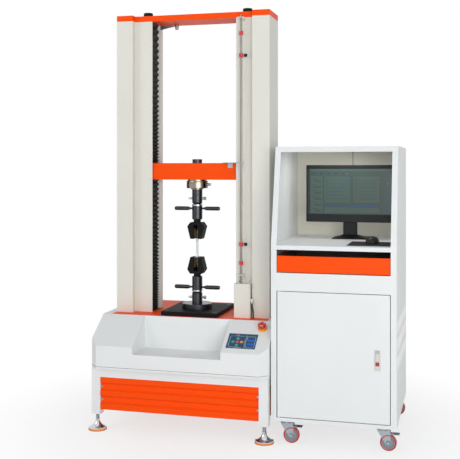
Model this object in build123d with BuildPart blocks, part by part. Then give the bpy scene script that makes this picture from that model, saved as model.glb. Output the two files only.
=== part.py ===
from build123d import *
import os
from math import atan2, cos, radians, sin, tan

# Universal testing machine with its control cabinet, in millimetres.
# X runs to the right, Y to the back, Z up. Sizes are counted from the load axis and the floor,
# and each piece is then placed so that the origin lies under the middle of the whole footprint.

# Fits
running_fit = 0.1
seat_gap = 0.3
sheet_gap = 0.5

# Base frame, its panels and feet
base_depth = 640.0
leg_tube = 44.0
leg_bottom = 80.0
rail_bottom = 262.0
frame_top = 307.0
lower_rail_inset = 14.0
lower_rail_height = 44.0
panel_bottom = 104.0
panel_sheet = 2.0
panel_proud_inset = 2.0
panel_bands = 5
panel_bevel = 4.0
tab_width = 30.0
tab_thickness = 4.0
panel_screw_d = 5.0
panel_screw_head_d = 10.0
panel_screw_head_h = 3.0
panel_screw_edge = 7.0
pad_d = 90.0
pad_h = 7.0
foot_disc_h = 35.0
foot_disc_inset = 2.0
foot_hex_h = 12.0
foot_hex_r = 11.0
stud_d = 18.0
stud_grip = 15.0
upright_front_y = -140.0
upright_back_y = 230.0
pan_thickness = 3.0

# White cover round the base
cover_width = 884.0
cover_overhang = 2.0
cover_rim = 40.0
cover_front_y = -350.0
cover_back_y = 330.0
cover_wall = 2.0
cover_chamfer_x = 37.0
cover_chamfer_y = 38.0
cover_slope_z = 420.0
cover_slope_back_y = -170.0
cover_flange = 60.0
tray_width = 440.0
tray_floor_z = 385.0

# Table and platen
table_top = 544.0
table_thickness = 25.0
platen_width = 290.0
platen_depth = 330.0
platen_front_y = -147.0
platen_thickness = 20.0
platen_edge = 2.0
platen_bolt_x = 250.0
platen_bolt_y = 250.0
platen_bolt_d = 10.0

# Columns, guide posts and screws
column_outer_x = 399.0
column_step_x = 312.0
column_inner_x = 221.0
column_depth = 200.0
column_step_y = 37.0
column_sheet = 2.0
slot_front_y = -57.0
slot_back_y = 60.0
beam_bottom = 2025.0
beam_thickness = 29.0
post_x = 345.0
post_d = 50.0
screw_x = 265.0
screw_d = 32.0
screw_foot_d = 25.0
screw_head_d = 20.0
lower_bearing_d = 60.0
lower_bearing_flange_d = 90.0
lower_bearing_flange_h = 10.0
lower_bearing_drop = 30.0
upper_bearing_d = 40.0
cap_d = 48.0
cap_edge = 3.4
cap_h = 25.0

# Belt drive
pulley_r = 70.0
motor_pulley_r = 30.0
pulley_rim = 30.0
pulley_flange = 2.0
pulley_flange_r = 6.0
pulley_z = 433.0
belt_thickness = 5.0
belt_width = 28.0
motor_y = 170.0
motor_size = 130.0
motor_height = 190.0
motor_flange = 150.0
motor_flange_h = 12.0
motor_shaft_d = 19.0

# Crosshead
crosshead_bottom = 1219.0
crosshead_height = 84.0
crosshead_depth = 102.0
crosshead_length = 776.0
crosshead_edge = 3.0
nut_d = 56.0
bush_d = 64.0
bush_rim = 4.0
bush_rim_h = 8.0
bolt_head_d = 50.0
bolt_head_h = 20.0
bolt_shank_d = 24.0
bolt_socket_r = 11.0

# Load train, with heights counted from the mouth of each grip
upper_mouth_z = 918.0
lower_mouth_z = 825.0
load_cell_d = 110.0
load_cell_height = 50.0
load_cell_neck_d = 64.0
load_cell_step = 6.0
plug_d = 14.0
plug_length = 18.0
train_d = 53.0
stem_d = 36.0
grip_mouth_width = 58.0
grip_wide_width = 90.0
grip_wide_h = 63.0
grip_top_width = 60.0
grip_height = 84.0
grip_depth = 56.0
grip_slot_width = 22.0
pocket_depth = 36.0
pocket_height = 70.0
pocket_mouth_width = 32.0
wedge_angle = 12.0
jaw_height = 50.0
jaw_lift = 1.0
specimen_thickness = 9.0
specimen_width = 20.0
specimen_grip = 40.0
sleeve_start = 97.0
sleeve_end = 166.0
bar_h = 154.0
bar_d = 20.0
bar_neck_d = 10.0
bar_neck_end = 36.0
bar_cone_end = 50.0
bar_reach = 120.0
lock_ring_h = 9.0
adapter_start = 186.0
stem_end = 227.0
pin_h = 205.0
pin_d = 12.0
pin_reach = 47.0
pin_knob_d = 18.0
pin_knob_length = 10.0
flange_d = 152.0
flange_thickness = 27.0

# Limit rod, its collars and switch box
rod_x = 253.0
rod_y = -85.0
rod_d = 10.0
rod_bottom = 660.0
rod_top = 2035.0
box_x0 = 225.0
box_x1 = 306.0
box_front_y = -120.0
box_top = 711.0
box_wall = 1.5
collar_d = 20.0
collar_h = 20.0
end_collar_z = (809.0, 1944.0)
lower_collar_z = 902.0
upper_collar_z = 1834.0
knob_d = 16.0
knob_length = 14.0
knob_neck_d = 7.0
knob_neck_length = 6.0
bracket_sheet = 3.0
bracket_height = 20.0
bracket_width = 34.0
upper_bracket_z = 2002.0
lower_bracket_rise = 22.0
finger_thickness = 3.0
finger_x0 = 160.0
finger_x1 = 212.0
finger_back = 40.0
lip_x0 = 176.0
lip_width = 25.0
lip_height = 24.0
finger_reach = 15.0
finger_width = 26.0
finger_hole_d = 14.0
gland_d = 12.0
gland_length = 8.0
cable_d = 6.0
cable_exit_y = -111.0
cable_exit_z = 632.0
gland_drop = 16.0
cable_corner_share = 0.45

# Bellows
bellows_x0 = 224.0
bellows_amplitude = 13.0
bellows_sheet = 2.0
bellows_width = 108.0
bellows_pleats = 26
bellows_sag = 1.3

# Operator panel and stop button
panel_edge = 134.0
panel_y = -286.0
panel_width = 140.0
panel_length = 94.0
panel_plate = 3.0
key_size = 13.0
key_rise = 1.0
arrow_pitch = 21.0
arrow_u = -21.0
arrow_v = -7.0
soft_key_u = 43.0
soft_key_v = -8.0
soft_key_pitch_u = 16.0
soft_key_pitch_v = 23.0
stop_edge = 52.0
stop_y = -212.0
stop_ring_d = 44.0
stop_ring_h = 10.0
stop_head_d = 40.0
stop_head_h = 16.0
stop_stem_d = 22.0
stop_travel = 6.0

# Control cabinet on casters
cab_side_gap = 6.0
cab_width = 575.0
cab_front_y = -290.0
cab_back_y = 370.0
cab_bottom = 105.0
cab_top = 1380.0
cab_kink_z = 930.0
cab_setback = 105.0
cab_flange = 26.0
cab_sheet = 2.0
door_thickness = 18.0
cab_shelf_top = 920.0
cab_shelf = 20.0
drawer_top = 872.0
drawer_bottom = 796.0
drawer_length = 430.0
drawer_wall = 3.0
drawer_side_gap = 8.0
runner_width = 14.0
runner_height = 6.0
apron_bottom = 709.0
door_gap = 3.0
door_lip = 16.0
door_pin_d = 8.0
door_pin_length = 9.0
door_pin_edge = 6.0
lock_edge = 56.0
lock_z = 412.0
lock_width = 27.0
lock_height = 94.0
lock_depth = 2.0
caster_edge = 65.0
caster_trail = 26.0
caster_plate = 62.0
caster_plate_h = 4.0
caster_head_d = 46.0
caster_head_h = 12.0
wheel_d = 75.0
wheel_width = 24.0
axle_d = 10.0
fork_gap = 2.0
fork_sheet = 3.0
pedal_length = 40.0
monitor_inset = 311.0
monitor_y = 141.0
monitor_width = 436.0
monitor_height = 287.0
monitor_depth = 34.0
monitor_bottom = 1006.0
stand_width = 180.0
stand_depth = 150.0
stand_plate = 10.0
stand_setback = 59.0
stand_neck_width = 70.0
stand_neck_depth = 18.0

# Values worked out from the sizes above
half_span = cover_width / 2 - cover_overhang
half_depth = base_depth / 2
leg_in_x = half_span - leg_tube
leg_in_y = half_depth - leg_tube
leg_x = half_span - leg_tube / 2
leg_y = half_depth - leg_tube / 2
table_bottom = table_top - table_thickness
platen_top = table_top + platen_thickness
beam_top = beam_bottom + beam_thickness
crosshead_top = crosshead_bottom + crosshead_height
half_column = column_depth / 2
step_front_y = -half_column + column_step_y
slope_rise = (table_top - cover_slope_z) / (cover_slope_back_y - cover_front_y)
slope_angle = atan2(table_top - cover_slope_z, cover_slope_back_y - cover_front_y)
slope_normal = (0, -sin(slope_angle), cos(slope_angle))
table_front_y = cover_slope_back_y + cover_wall / sin(slope_angle) + sheet_gap
table_half_x = cover_width / 2 - cover_wall - sheet_gap
table_open_x = cover_width / 2 - cover_rim
panel_x = cover_width / 2 - panel_edge
stop_x = cover_width / 2 - stop_edge
lower_bracket_z = box_top + lower_bracket_rise
load_cell_bottom = crosshead_bottom - load_cell_height
flange_top = platen_top + flange_thickness
cab_left_x = cover_width / 2 + cab_side_gap
cab_right_x = cab_left_x + cab_width
monitor_x = cab_left_x + monitor_inset
footprint_left_x = -leg_x - pad_d / 2
footprint_right_x = cab_right_x - caster_edge + caster_trail + axle_d + pedal_length
origin_x = (footprint_left_x + footprint_right_x) / 2
origin_y = (cover_front_y + cab_back_y) / 2
sides = (-1, 1)
corners = [(sx, sy) for sx in sides for sy in sides]

os.makedirs("parts", exist_ok=True)


def save(piece, name):
    piece.part.label = name
    piece.part.locate(Location((-origin_x, -origin_y, 0)))
    export_step(piece.part, f"parts/{name}.step")


def block(x0, x1, y0, y1, z0, z1, mode=Mode.ADD):
    with Locations(((x0 + x1) / 2, (y0 + y1) / 2, (z0 + z1) / 2)):
        Box(x1 - x0, y1 - y0, z1 - z0, mode=mode)


def post(x, y, z0, z1, diameter, mode=Mode.ADD):
    with Locations((x, y, (z0 + z1) / 2)):
        Cylinder(diameter / 2, z1 - z0, mode=mode)


def rod_along_x(x0, x1, y, z, diameter, mode=Mode.ADD):
    with Locations(((x0 + x1) / 2, y, z)):
        Cylinder(diameter / 2, x1 - x0, rotation=(0, 90, 0), mode=mode)


def rod_along_y(x, y0, y1, z, diameter, mode=Mode.ADD):
    with Locations((x, (y0 + y1) / 2, z)):
        Cylinder(diameter / 2, y1 - y0, rotation=(90, 0, 0), mode=mode)


# Welded base frame: four legs, two rings of rails, table uprights and panel tabs
lower_rail_top = panel_bottom + lower_rail_height
panel_back_y = -half_depth + lower_rail_inset
band_height = (rail_bottom - panel_bottom) / panel_bands
groove_heights = [panel_bottom + band_height * (i + 0.5) for i in range(1, panel_bands, 2)]
panel_screw_x = leg_in_x - panel_screw_edge
panel_screw_points = [(s * panel_screw_x, z) for s in sides for z in groove_heights]
stud_top = leg_bottom + stud_grip

with BuildPart() as base_frame:
    for sx, sy in corners:
        with Locations((sx * leg_x, sy * leg_y, (leg_bottom + frame_top) / 2)):
            Box(leg_tube, leg_tube, frame_top - leg_bottom)
        post(sx * leg_x, sy * leg_y, leg_bottom, stud_top + seat_gap, stud_d + 2 * running_fit, Mode.SUBTRACT)
    for s in sides:
        rail_y = s * (half_depth - leg_tube / 2)
        rail_x = s * (half_span - leg_tube / 2)
        block(-leg_in_x, leg_in_x, rail_y - leg_tube / 2, rail_y + leg_tube / 2, rail_bottom, frame_top)
        block(rail_x - leg_tube / 2, rail_x + leg_tube / 2, -leg_in_y, leg_in_y, rail_bottom, frame_top)
        low_y = sorted((s * leg_in_y, s * (half_depth - lower_rail_inset)))
        low_x = sorted((s * leg_in_x, s * (half_span - lower_rail_inset)))
        block(-leg_in_x, leg_in_x, *low_y, panel_bottom, lower_rail_top)
        block(*low_x, -leg_in_y, leg_in_y, panel_bottom, lower_rail_top)
        for upright_y in (upright_front_y, upright_back_y):
            with Locations((s * leg_x, upright_y, (frame_top + table_bottom) / 2)):
                Box(leg_tube, leg_tube, table_bottom - frame_top)
        tab_x = sorted((s * (leg_in_x - tab_width), s * leg_in_x))
        block(*tab_x, panel_back_y, panel_back_y + tab_thickness, panel_bottom, rail_bottom)
    for x, z in panel_screw_points:
        rod_along_y(x, panel_back_y, -leg_in_y, z, panel_screw_d + 2 * running_fit, Mode.SUBTRACT)
save(base_frame, "base_frame")

# Louvred front panel, folded from one sheet: bands stand proud and set back in turn
proud_y = -half_depth + panel_proud_inset
groove_y = panel_back_y - panel_sheet
panel_half = leg_in_x - sheet_gap
fold = []
for band in range(panel_bands):
    band_y = proud_y if band % 2 == 0 else groove_y
    band_z = panel_bottom + band * band_height
    fold.append((band_y, band_z + (panel_bevel if band else 0)))
    fold.append((band_y, band_z + band_height - (panel_bevel if band < panel_bands - 1 else 0)))
fold_back = [(y + panel_sheet, z) for y, z in reversed(fold)]
with BuildPart() as front_panel:
    with BuildSketch(Plane.YZ.offset(-panel_half)):
        with BuildLine():
            Polyline(*fold, *fold_back, close=True)
        make_face()
    extrude(amount=2 * panel_half)
    for x, z in panel_screw_points:
        rod_along_y(x, groove_y, panel_back_y, z, panel_screw_d + 2 * running_fit, Mode.SUBTRACT)
save(front_panel, "front_panel")

# Side and rear panels, and the pan that carries the motor
with BuildPart() as base_panels:
    for s in sides:
        rail_face_x = half_span - lower_rail_inset
        side_x = sorted((s * rail_face_x, s * (rail_face_x + panel_sheet)))
        block(*side_x, -leg_in_y, leg_in_y, panel_bottom, rail_bottom)
    rear_y = half_depth - lower_rail_inset
    block(-leg_in_x, leg_in_x, rear_y, rear_y + panel_sheet, panel_bottom, rail_bottom)
    pan_x = leg_in_x + lower_rail_inset
    pan_y = leg_in_y - sheet_gap
    block(-pan_x, pan_x, -pan_y, pan_y, lower_rail_top, lower_rail_top + pan_thickness)
save(base_panels, "base_panels")

# Front panel screws
with BuildPart() as panel_screws:
    for x, z in panel_screw_points:
        rod_along_y(x, groove_y - panel_screw_head_h, groove_y, z, panel_screw_head_d)
        rod_along_y(x, groove_y, panel_back_y + tab_thickness, z, panel_screw_d)
    fillet(panel_screws.edges().group_by(Axis.Y)[0], panel_screw_head_h / 2)
save(panel_screws, "panel_screws")

# Levelling feet: a domed disc, a spanner collar and a stud, standing on a rubber pad
disc_top = pad_h + foot_disc_h
disc_r = pad_d / 2 - foot_disc_inset
disc_rim = foot_disc_h / 5
foot_points = [(sx * leg_x, sy * leg_y, 0) for sx, sy in corners]
with BuildPart() as foot:
    with BuildSketch(Plane.XZ):
        with BuildLine():
            Polyline((0, disc_top), (0, pad_h), (disc_r, pad_h), (disc_r, pad_h + disc_rim))
            RadiusArc((disc_r, pad_h + disc_rim), (foot_hex_r, disc_top), disc_r)
            Line((foot_hex_r, disc_top), (0, disc_top))
        make_face()
    revolve(axis=Axis.Z)
    with BuildSketch(Plane.XY.offset(disc_top)):
        RegularPolygon(foot_hex_r, 6)
    extrude(amount=foot_hex_h)
    post(0, 0, disc_top + foot_hex_h, stud_top, stud_d)
with BuildPart() as levelling_feet:
    with Locations(*foot_points):
        add(foot.part)
save(levelling_feet, "levelling_feet")

with BuildPart() as foot_pads:
    for x, y, z in foot_points:
        post(x, y, z, z + pad_h, pad_d)
save(foot_pads, "foot_pads")

# White cover: a chamfered box with a sloped front and a tray let into its middle
cover_plan = [
    (-cover_width / 2, cover_back_y),
    (-cover_width / 2, cover_front_y + cover_chamfer_y),
    (-cover_width / 2 + cover_chamfer_x, cover_front_y),
    (cover_width / 2 - cover_chamfer_x, cover_front_y),
    (cover_width / 2, cover_front_y + cover_chamfer_y),
    (cover_width / 2, cover_back_y),
]
overcut = 10.0


def slope_cut(drop):
    # Takes away what stands above the sloped front, lowered by drop.
    low_z = cover_slope_z - drop - overcut * slope_rise
    high_z = table_top - drop + overcut * slope_rise
    with BuildSketch(Plane.YZ.offset(-cover_width)) as wedge:
        with BuildLine():
            Polyline(
                (cover_front_y - overcut, low_z),
                (cover_slope_back_y + overcut, high_z),
                (cover_slope_back_y + overcut, table_top + 2 * overcut),
                (cover_front_y - overcut, table_top + 2 * overcut),
                close=True,
            )
        make_face()
    extrude(wedge.sketch, amount=2 * cover_width, mode=Mode.SUBTRACT)


def tray_cut(wall):
    # Takes away the tray, grown by wall on its three sides and floor.
    half = tray_width / 2 + wall
    block(-half, half, cover_front_y - overcut, cover_slope_back_y + wall,
          tray_floor_z - wall, table_top + overcut, Mode.SUBTRACT)


with BuildPart() as cover_hollow:
    with BuildSketch(Plane.XY.offset(frame_top + cover_wall)):
        with BuildLine():
            Polyline(*cover_plan, close=True)
        make_face()
        offset(amount=-cover_wall, kind=Kind.INTERSECTION, mode=Mode.REPLACE)
    extrude(amount=table_top - frame_top)
    slope_cut(cover_wall / cos(slope_angle))
    tray_cut(cover_wall)
    opening_x = cover_width / 2 - cover_wall
    block(-opening_x, opening_x, cover_front_y + cover_flange, cover_back_y - cover_flange + leg_tube / 2,
          frame_top, frame_top + cover_wall)

with BuildPart() as base_cover:
    with BuildSketch(Plane.XY.offset(frame_top)):
        with BuildLine():
            Polyline(*cover_plan, close=True)
        make_face()
    extrude(amount=table_top - frame_top)
    slope_cut(0)
    tray_cut(0)
    add(cover_hollow.part, mode=Mode.SUBTRACT)
    for s in sides:
        rim_x = sorted((s * table_open_x, s * cover_width / 2))
        block(*rim_x, table_front_y, cover_back_y, table_top - cover_wall, table_top)
save(base_cover, "base_cover")

# Table plate, bored for the screw bearings and stepped down under the cover's rim
with BuildPart() as table_plate:
    block(-table_half_x, table_half_x, table_front_y, cover_back_y - cover_wall - sheet_gap,
          table_bottom, table_top)
    for s in sides:
        post(s * screw_x, 0, table_bottom, table_top, lower_bearing_d + 2 * running_fit, Mode.SUBTRACT)
        rebate_x = sorted((s * (table_open_x - sheet_gap), s * table_half_x))
        block(*rebate_x, table_front_y, cover_back_y, table_top - cover_wall - sheet_gap, table_top,
              Mode.SUBTRACT)
save(table_plate, "table_plate")

# Platen with four tapped holes for fixtures
platen_mid_y = platen_front_y + platen_depth / 2
platen_holes = [
    (sx * platen_bolt_x / 2, platen_mid_y + sy * platen_bolt_y / 2) for sx, sy in corners
]
with BuildPart() as platen:
    block(-platen_width / 2, platen_width / 2, platen_front_y, platen_front_y + platen_depth,
          table_top, platen_top)
    chamfer(platen.faces().sort_by(Axis.Z)[-1].edges(), platen_edge)
    for x, y in platen_holes:
        post(x, y, table_top, platen_top, platen_bolt_d, Mode.SUBTRACT)
save(platen, "platen")


# Column covers: stepped sheet shells, open along the inner side for the crosshead
def column_outline(side, inset):
    return [
        (side * (column_inner_x + inset), step_front_y + inset),
        (side * (column_step_x + inset), step_front_y + inset),
        (side * (column_step_x + inset), -half_column + inset),
        (side * (column_outer_x - inset), -half_column + inset),
        (side * (column_outer_x - inset), half_column - inset),
        (side * (column_inner_x + inset), half_column - inset),
    ]


for side, name in zip(sides, ("left_column_cover", "right_column_cover")):
    with BuildPart() as column_cover:
        with BuildSketch(Plane.XY.offset(table_top)):
            with BuildLine():
                Polyline(*column_outline(side, 0), close=True)
            make_face()
            with BuildLine():
                Polyline(*column_outline(side, column_sheet), close=True)
            make_face(mode=Mode.SUBTRACT)
        extrude(amount=beam_bottom - table_top)
        slot_x = sorted((side * (column_inner_x - overcut), side * (column_inner_x + overcut)))
        block(*slot_x, slot_front_y, slot_back_y, table_top, beam_bottom, Mode.SUBTRACT)
    save(column_cover, name)

# Guide posts
with BuildPart() as guide_posts:
    for s in sides:
        post(s * post_x, 0, table_top, beam_bottom, post_d)
save(guide_posts, "guide_posts")

# Screw bearings: flanged housings in the table, plain rings in the top beam
bearing_bottom = table_bottom - lower_bearing_drop
with BuildPart() as screw_bearings:
    for s in sides:
        post(s * screw_x, 0, bearing_bottom, table_top, lower_bearing_d)
        post(s * screw_x, 0, table_bottom - lower_bearing_flange_h, table_bottom, lower_bearing_flange_d)
        post(s * screw_x, 0, bearing_bottom, table_top, screw_foot_d + 2 * running_fit, Mode.SUBTRACT)
        post(s * screw_x, 0, beam_bottom, beam_top, upper_bearing_d)
        post(s * screw_x, 0, beam_bottom, beam_top, screw_head_d + 2 * running_fit, Mode.SUBTRACT)
save(screw_bearings, "screw_bearings")

# Top beam, stepped like the columns, with two black caps over the screw ends
beam_plan = [
    (-column_outer_x, -half_column),
    (-column_step_x, -half_column),
    (-column_step_x, step_front_y),
    (column_step_x, step_front_y),
    (column_step_x, -half_column),
    (column_outer_x, -half_column),
    (column_outer_x, half_column),
    (-column_outer_x, half_column),
]
with BuildPart() as top_beam:
    with BuildSketch(Plane.XY.offset(beam_bottom)):
        with BuildLine():
            Polyline(*beam_plan, close=True)
        make_face()
    extrude(amount=beam_thickness)
    for s in sides:
        post(s * screw_x, 0, beam_bottom, beam_top, upper_bearing_d + 2 * running_fit, Mode.SUBTRACT)
save(top_beam, "top_beam")

with BuildPart() as beam_caps:
    for s in sides:
        post(s * screw_x, 0, beam_top, beam_top + cap_h, cap_d)
    fillet(beam_caps.edges().group_by(Axis.Z)[-1], cap_edge)
save(beam_caps, "beam_caps")


# Belt drive: a flanged pulley on each screw and one on the motor, with one belt round all three
def pulley(x, y, radius, bore):
    rim_z = pulley_z + pulley_flange
    post(x, y, rim_z, rim_z + pulley_rim, 2 * radius)
    post(x, y, pulley_z, rim_z, 2 * (radius + pulley_flange_r))
    post(x, y, rim_z + pulley_rim, rim_z + pulley_rim + pulley_flange, 2 * (radius + pulley_flange_r))
    if bore:
        post(x, y, pulley_z, rim_z + pulley_rim + pulley_flange, bore, Mode.SUBTRACT)


pulley_top = pulley_z + 2 * pulley_flange + pulley_rim
for side, name in zip(sides, ("left_ball_screw", "right_ball_screw")):
    with BuildPart() as ball_screw:
        pulley(side * screw_x, 0, pulley_r, screw_foot_d + 2 * running_fit)
        post(side * screw_x, 0, pulley_z, table_top + seat_gap, screw_foot_d)
        post(side * screw_x, 0, table_top + seat_gap, beam_bottom - seat_gap, screw_d)
        post(side * screw_x, 0, beam_bottom - seat_gap, beam_top - seat_gap, screw_head_d)
    save(ball_screw, name)

motor_base = lower_rail_top + pan_thickness
motor_top = motor_base + motor_height + motor_flange_h
with BuildPart() as servo_motor:
    with Locations((0, motor_y, motor_base + motor_height / 2)):
        Box(motor_size, motor_size, motor_height)
    chamfer(servo_motor.edges().filter_by(Axis.Z), motor_size / 8)
    with Locations((0, motor_y, motor_top - motor_flange_h / 2)):
        Box(motor_flange, motor_flange, motor_flange_h)
save(servo_motor, "servo_motor")

with BuildPart() as motor_pulley:
    pulley(0, motor_y, motor_pulley_r, 0)
    post(0, motor_y, motor_top + seat_gap, pulley_top, motor_shaft_d)
save(motor_pulley, "motor_pulley")

belt_z = pulley_z + pulley_flange + (pulley_rim - belt_width) / 2


def belt_loop(grow, mode):
    # Convex outline round the three pulleys, grown outwards.
    with BuildSketch(Plane.XY.offset(belt_z)) as loop:
        with BuildLine() as rounds:
            for s in sides:
                CenterArc((s * screw_x, 0), pulley_r + grow, 0, 360)
            CenterArc((0, motor_y), motor_pulley_r + grow, 0, 360)
        make_hull(rounds.edges())
    extrude(loop.sketch, amount=belt_width, mode=mode)


with BuildPart() as drive_belt:
    belt_loop(seat_gap + belt_thickness, Mode.ADD)
    belt_loop(seat_gap, Mode.SUBTRACT)
save(drive_belt, "drive_belt")

# Crosshead with its ball nuts, guide bushes and centre bolt
bush_sizes = ((screw_x, nut_d, screw_d), (post_x, bush_d, post_d))
bush_points = [(s * x, body_d, bore_d) for s in sides for x, body_d, bore_d in bush_sizes]
rim_z = crosshead_top - bush_rim_h
with BuildPart() as crosshead:
    block(-crosshead_length / 2, crosshead_length / 2, -crosshead_depth / 2, crosshead_depth / 2,
          crosshead_bottom, crosshead_top)
    chamfer(crosshead.edges().filter_by(Axis.X), crosshead_edge)
    for x, body_d, bore_d in bush_points:
        post(x, 0, crosshead_bottom, crosshead_top, body_d + 2 * running_fit, Mode.SUBTRACT)
        post(x, 0, rim_z, crosshead_top, body_d + 2 * bush_rim + 2 * running_fit, Mode.SUBTRACT)
    post(0, 0, crosshead_bottom, crosshead_top, bolt_shank_d + 2 * running_fit, Mode.SUBTRACT)
save(crosshead, "crosshead")

with BuildPart() as crosshead_fittings:
    for x, body_d, bore_d in bush_points:
        post(x, 0, crosshead_bottom, crosshead_top, body_d)
        post(x, 0, rim_z, crosshead_top, body_d + 2 * bush_rim)
        post(x, 0, crosshead_bottom, crosshead_top, bore_d + 2 * running_fit, Mode.SUBTRACT)
    post(0, 0, crosshead_bottom, crosshead_top, bolt_shank_d)
    post(0, 0, crosshead_top, crosshead_top + bolt_head_h, bolt_head_d)
    fillet(crosshead_fittings.edges().group_by(Axis.Z)[-1], bolt_head_h / 10)
    with BuildSketch(Plane.XY.offset(crosshead_top + bolt_head_h)):
        RegularPolygon(bolt_socket_r, 6)
    extrude(amount=-bolt_head_h / 2, mode=Mode.SUBTRACT)
save(crosshead_fittings, "crosshead_fittings")

# Trip finger: a plate on top of the crosshead with an eye round the limit rod and a lip down the front
crosshead_front_y = -crosshead_depth / 2
finger_top = crosshead_top + finger_thickness
finger_y0 = rod_y - finger_width / 2
finger_y1 = rod_y + finger_width / 2
with BuildPart() as trip_finger:
    with BuildSketch(Plane.XY.offset(crosshead_top)):
        with BuildLine():
            Polyline(
                (finger_x0, crosshead_front_y + finger_back),
                (finger_x1, crosshead_front_y + finger_back),
                (finger_x1, finger_y1),
                (rod_x + finger_reach, finger_y1),
                (rod_x + finger_reach, finger_y0),
                (finger_x0, finger_y0),
                close=True,
            )
        make_face()
    extrude(amount=finger_thickness)
    post(rod_x, rod_y, crosshead_top, finger_top, finger_hole_d, Mode.SUBTRACT)
    block(lip_x0, lip_x0 + lip_width, crosshead_front_y - finger_thickness, crosshead_front_y,
          crosshead_top - lip_height, finger_top)
save(trip_finger, "trip_finger")

# Load cell with its cable plug
cell_r = load_cell_d / 2
with BuildPart() as load_cell:
    post(0, 0, load_cell_bottom + load_cell_step, crosshead_bottom - load_cell_step, load_cell_d)
    fillet(load_cell.edges().filter_by(GeomType.CIRCLE), load_cell_step / 2)
    post(0, 0, load_cell_bottom, load_cell_bottom + load_cell_step, load_cell_neck_d)
    post(0, 0, crosshead_bottom - load_cell_step, crosshead_bottom, load_cell_d - 2 * load_cell_step)
    plug_z = load_cell_bottom + load_cell_height / 2
    rod_along_x(cell_r - load_cell_step, cell_r + plug_length, 0, plug_z, plug_d)
save(load_cell, "load_cell")


# Wedge grips: every height is counted from the mouth, upwards in the upper grip and downwards in the lower
def level(mouth_z, up, h0, h1):
    return sorted((mouth_z + up * h0, mouth_z + up * h1))


def pocket_half_width(h):
    return pocket_mouth_width / 2 + h * tan(radians(wedge_angle))


def grip_body(mouth_z, up):
    with BuildSketch(Plane.XZ.offset(-grip_depth / 2)) as outline:
        with BuildLine():
            Polyline(
                (-grip_mouth_width / 2, mouth_z),
                (grip_mouth_width / 2, mouth_z),
                (grip_wide_width / 2, mouth_z + up * grip_wide_h),
                (grip_top_width / 2, mouth_z + up * grip_height),
                (-grip_top_width / 2, mouth_z + up * grip_height),
                (-grip_wide_width / 2, mouth_z + up * grip_wide_h),
                close=True,
            )
        make_face()
    extrude(outline.sketch, amount=grip_depth)
    with BuildSketch(Plane.XZ.offset(-pocket_depth / 2)) as pocket:
        with BuildLine():
            Polyline(
                (-pocket_half_width(0), mouth_z),
                (pocket_half_width(0), mouth_z),
                (pocket_half_width(pocket_height), mouth_z + up * pocket_height),
                (-pocket_half_width(pocket_height), mouth_z + up * pocket_height),
                close=True,
            )
        make_face()
    extrude(pocket.sketch, amount=pocket_depth, mode=Mode.SUBTRACT)
    slot_z = level(mouth_z, up, 0, pocket_height)
    block(-grip_slot_width / 2, grip_slot_width / 2, -grip_depth / 2, 0, *slot_z, Mode.SUBTRACT)
    post(0, 0, *level(mouth_z, up, grip_height, stem_end), stem_d)
    rod_along_x(-stem_d, stem_d, 0, mouth_z + up * pin_h, pin_d + 2 * running_fit, Mode.SUBTRACT)


def jaw(mouth_z, up, side):
    face_x = specimen_thickness / 2 + running_fit
    low_h = jaw_lift
    high_h = jaw_lift + jaw_height
    with BuildSketch(Plane.XZ.offset(-(pocket_depth / 2 - sheet_gap))) as wedge:
        with BuildLine():
            Polyline(
                (side * face_x, mouth_z + up * low_h),
                (side * (pocket_half_width(low_h) - seat_gap), mouth_z + up * low_h),
                (side * (pocket_half_width(high_h) - seat_gap), mouth_z + up * high_h),
                (side * face_x, mouth_z + up * high_h),
                close=True,
            )
        make_face()
    extrude(wedge.sketch, amount=pocket_depth - 2 * sheet_gap)


def sleeve(mouth_z, up):
    post(0, 0, *level(mouth_z, up, sleeve_start, sleeve_end), train_d)
    bar_z = mouth_z + up * bar_h
    for s in sides:
        turn = (0, 90 * s, 0)
        grow = (Align.CENTER, Align.CENTER, Align.MIN)
        bar_root = train_d / 2 - bar_neck_d / 4
        with Locations((s * bar_root, 0, bar_z)):
            Cylinder(bar_neck_d / 2, bar_neck_end - bar_root, rotation=turn, align=grow)
        with Locations((s * bar_neck_end, 0, bar_z)):
            Cone(bar_neck_d / 2, bar_d / 2, bar_cone_end - bar_neck_end, rotation=turn, align=grow)
        with Locations((s * bar_cone_end, 0, bar_z)):
            Cylinder(bar_d / 2, bar_reach - bar_cone_end, rotation=turn, align=grow)
    post(0, 0, *level(mouth_z, up, sleeve_start, sleeve_end), stem_d + 2 * running_fit, Mode.SUBTRACT)


def adapter(mouth_z, up, end_h):
    ring_h = sleeve_end + seat_gap
    post(0, 0, *level(mouth_z, up, ring_h, ring_h + lock_ring_h), train_d)
    post(0, 0, *level(mouth_z, up, adapter_start, end_h), train_d)
    post(0, 0, *level(mouth_z, up, ring_h, stem_end + seat_gap), stem_d + 2 * running_fit, Mode.SUBTRACT)
    rod_along_x(-train_d, train_d, 0, mouth_z + up * pin_h, pin_d + 2 * running_fit, Mode.SUBTRACT)


def cross_pin(mouth_z, up):
    pin_z = mouth_z + up * pin_h
    rod_along_x(-pin_reach, pin_reach - pin_knob_length, 0, pin_z, pin_d)
    rod_along_x(pin_reach - pin_knob_length, pin_reach, 0, pin_z, pin_knob_d)
    chamfer(faces().sort_by(Axis.X)[0].edges(), pin_d / 6)


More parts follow.
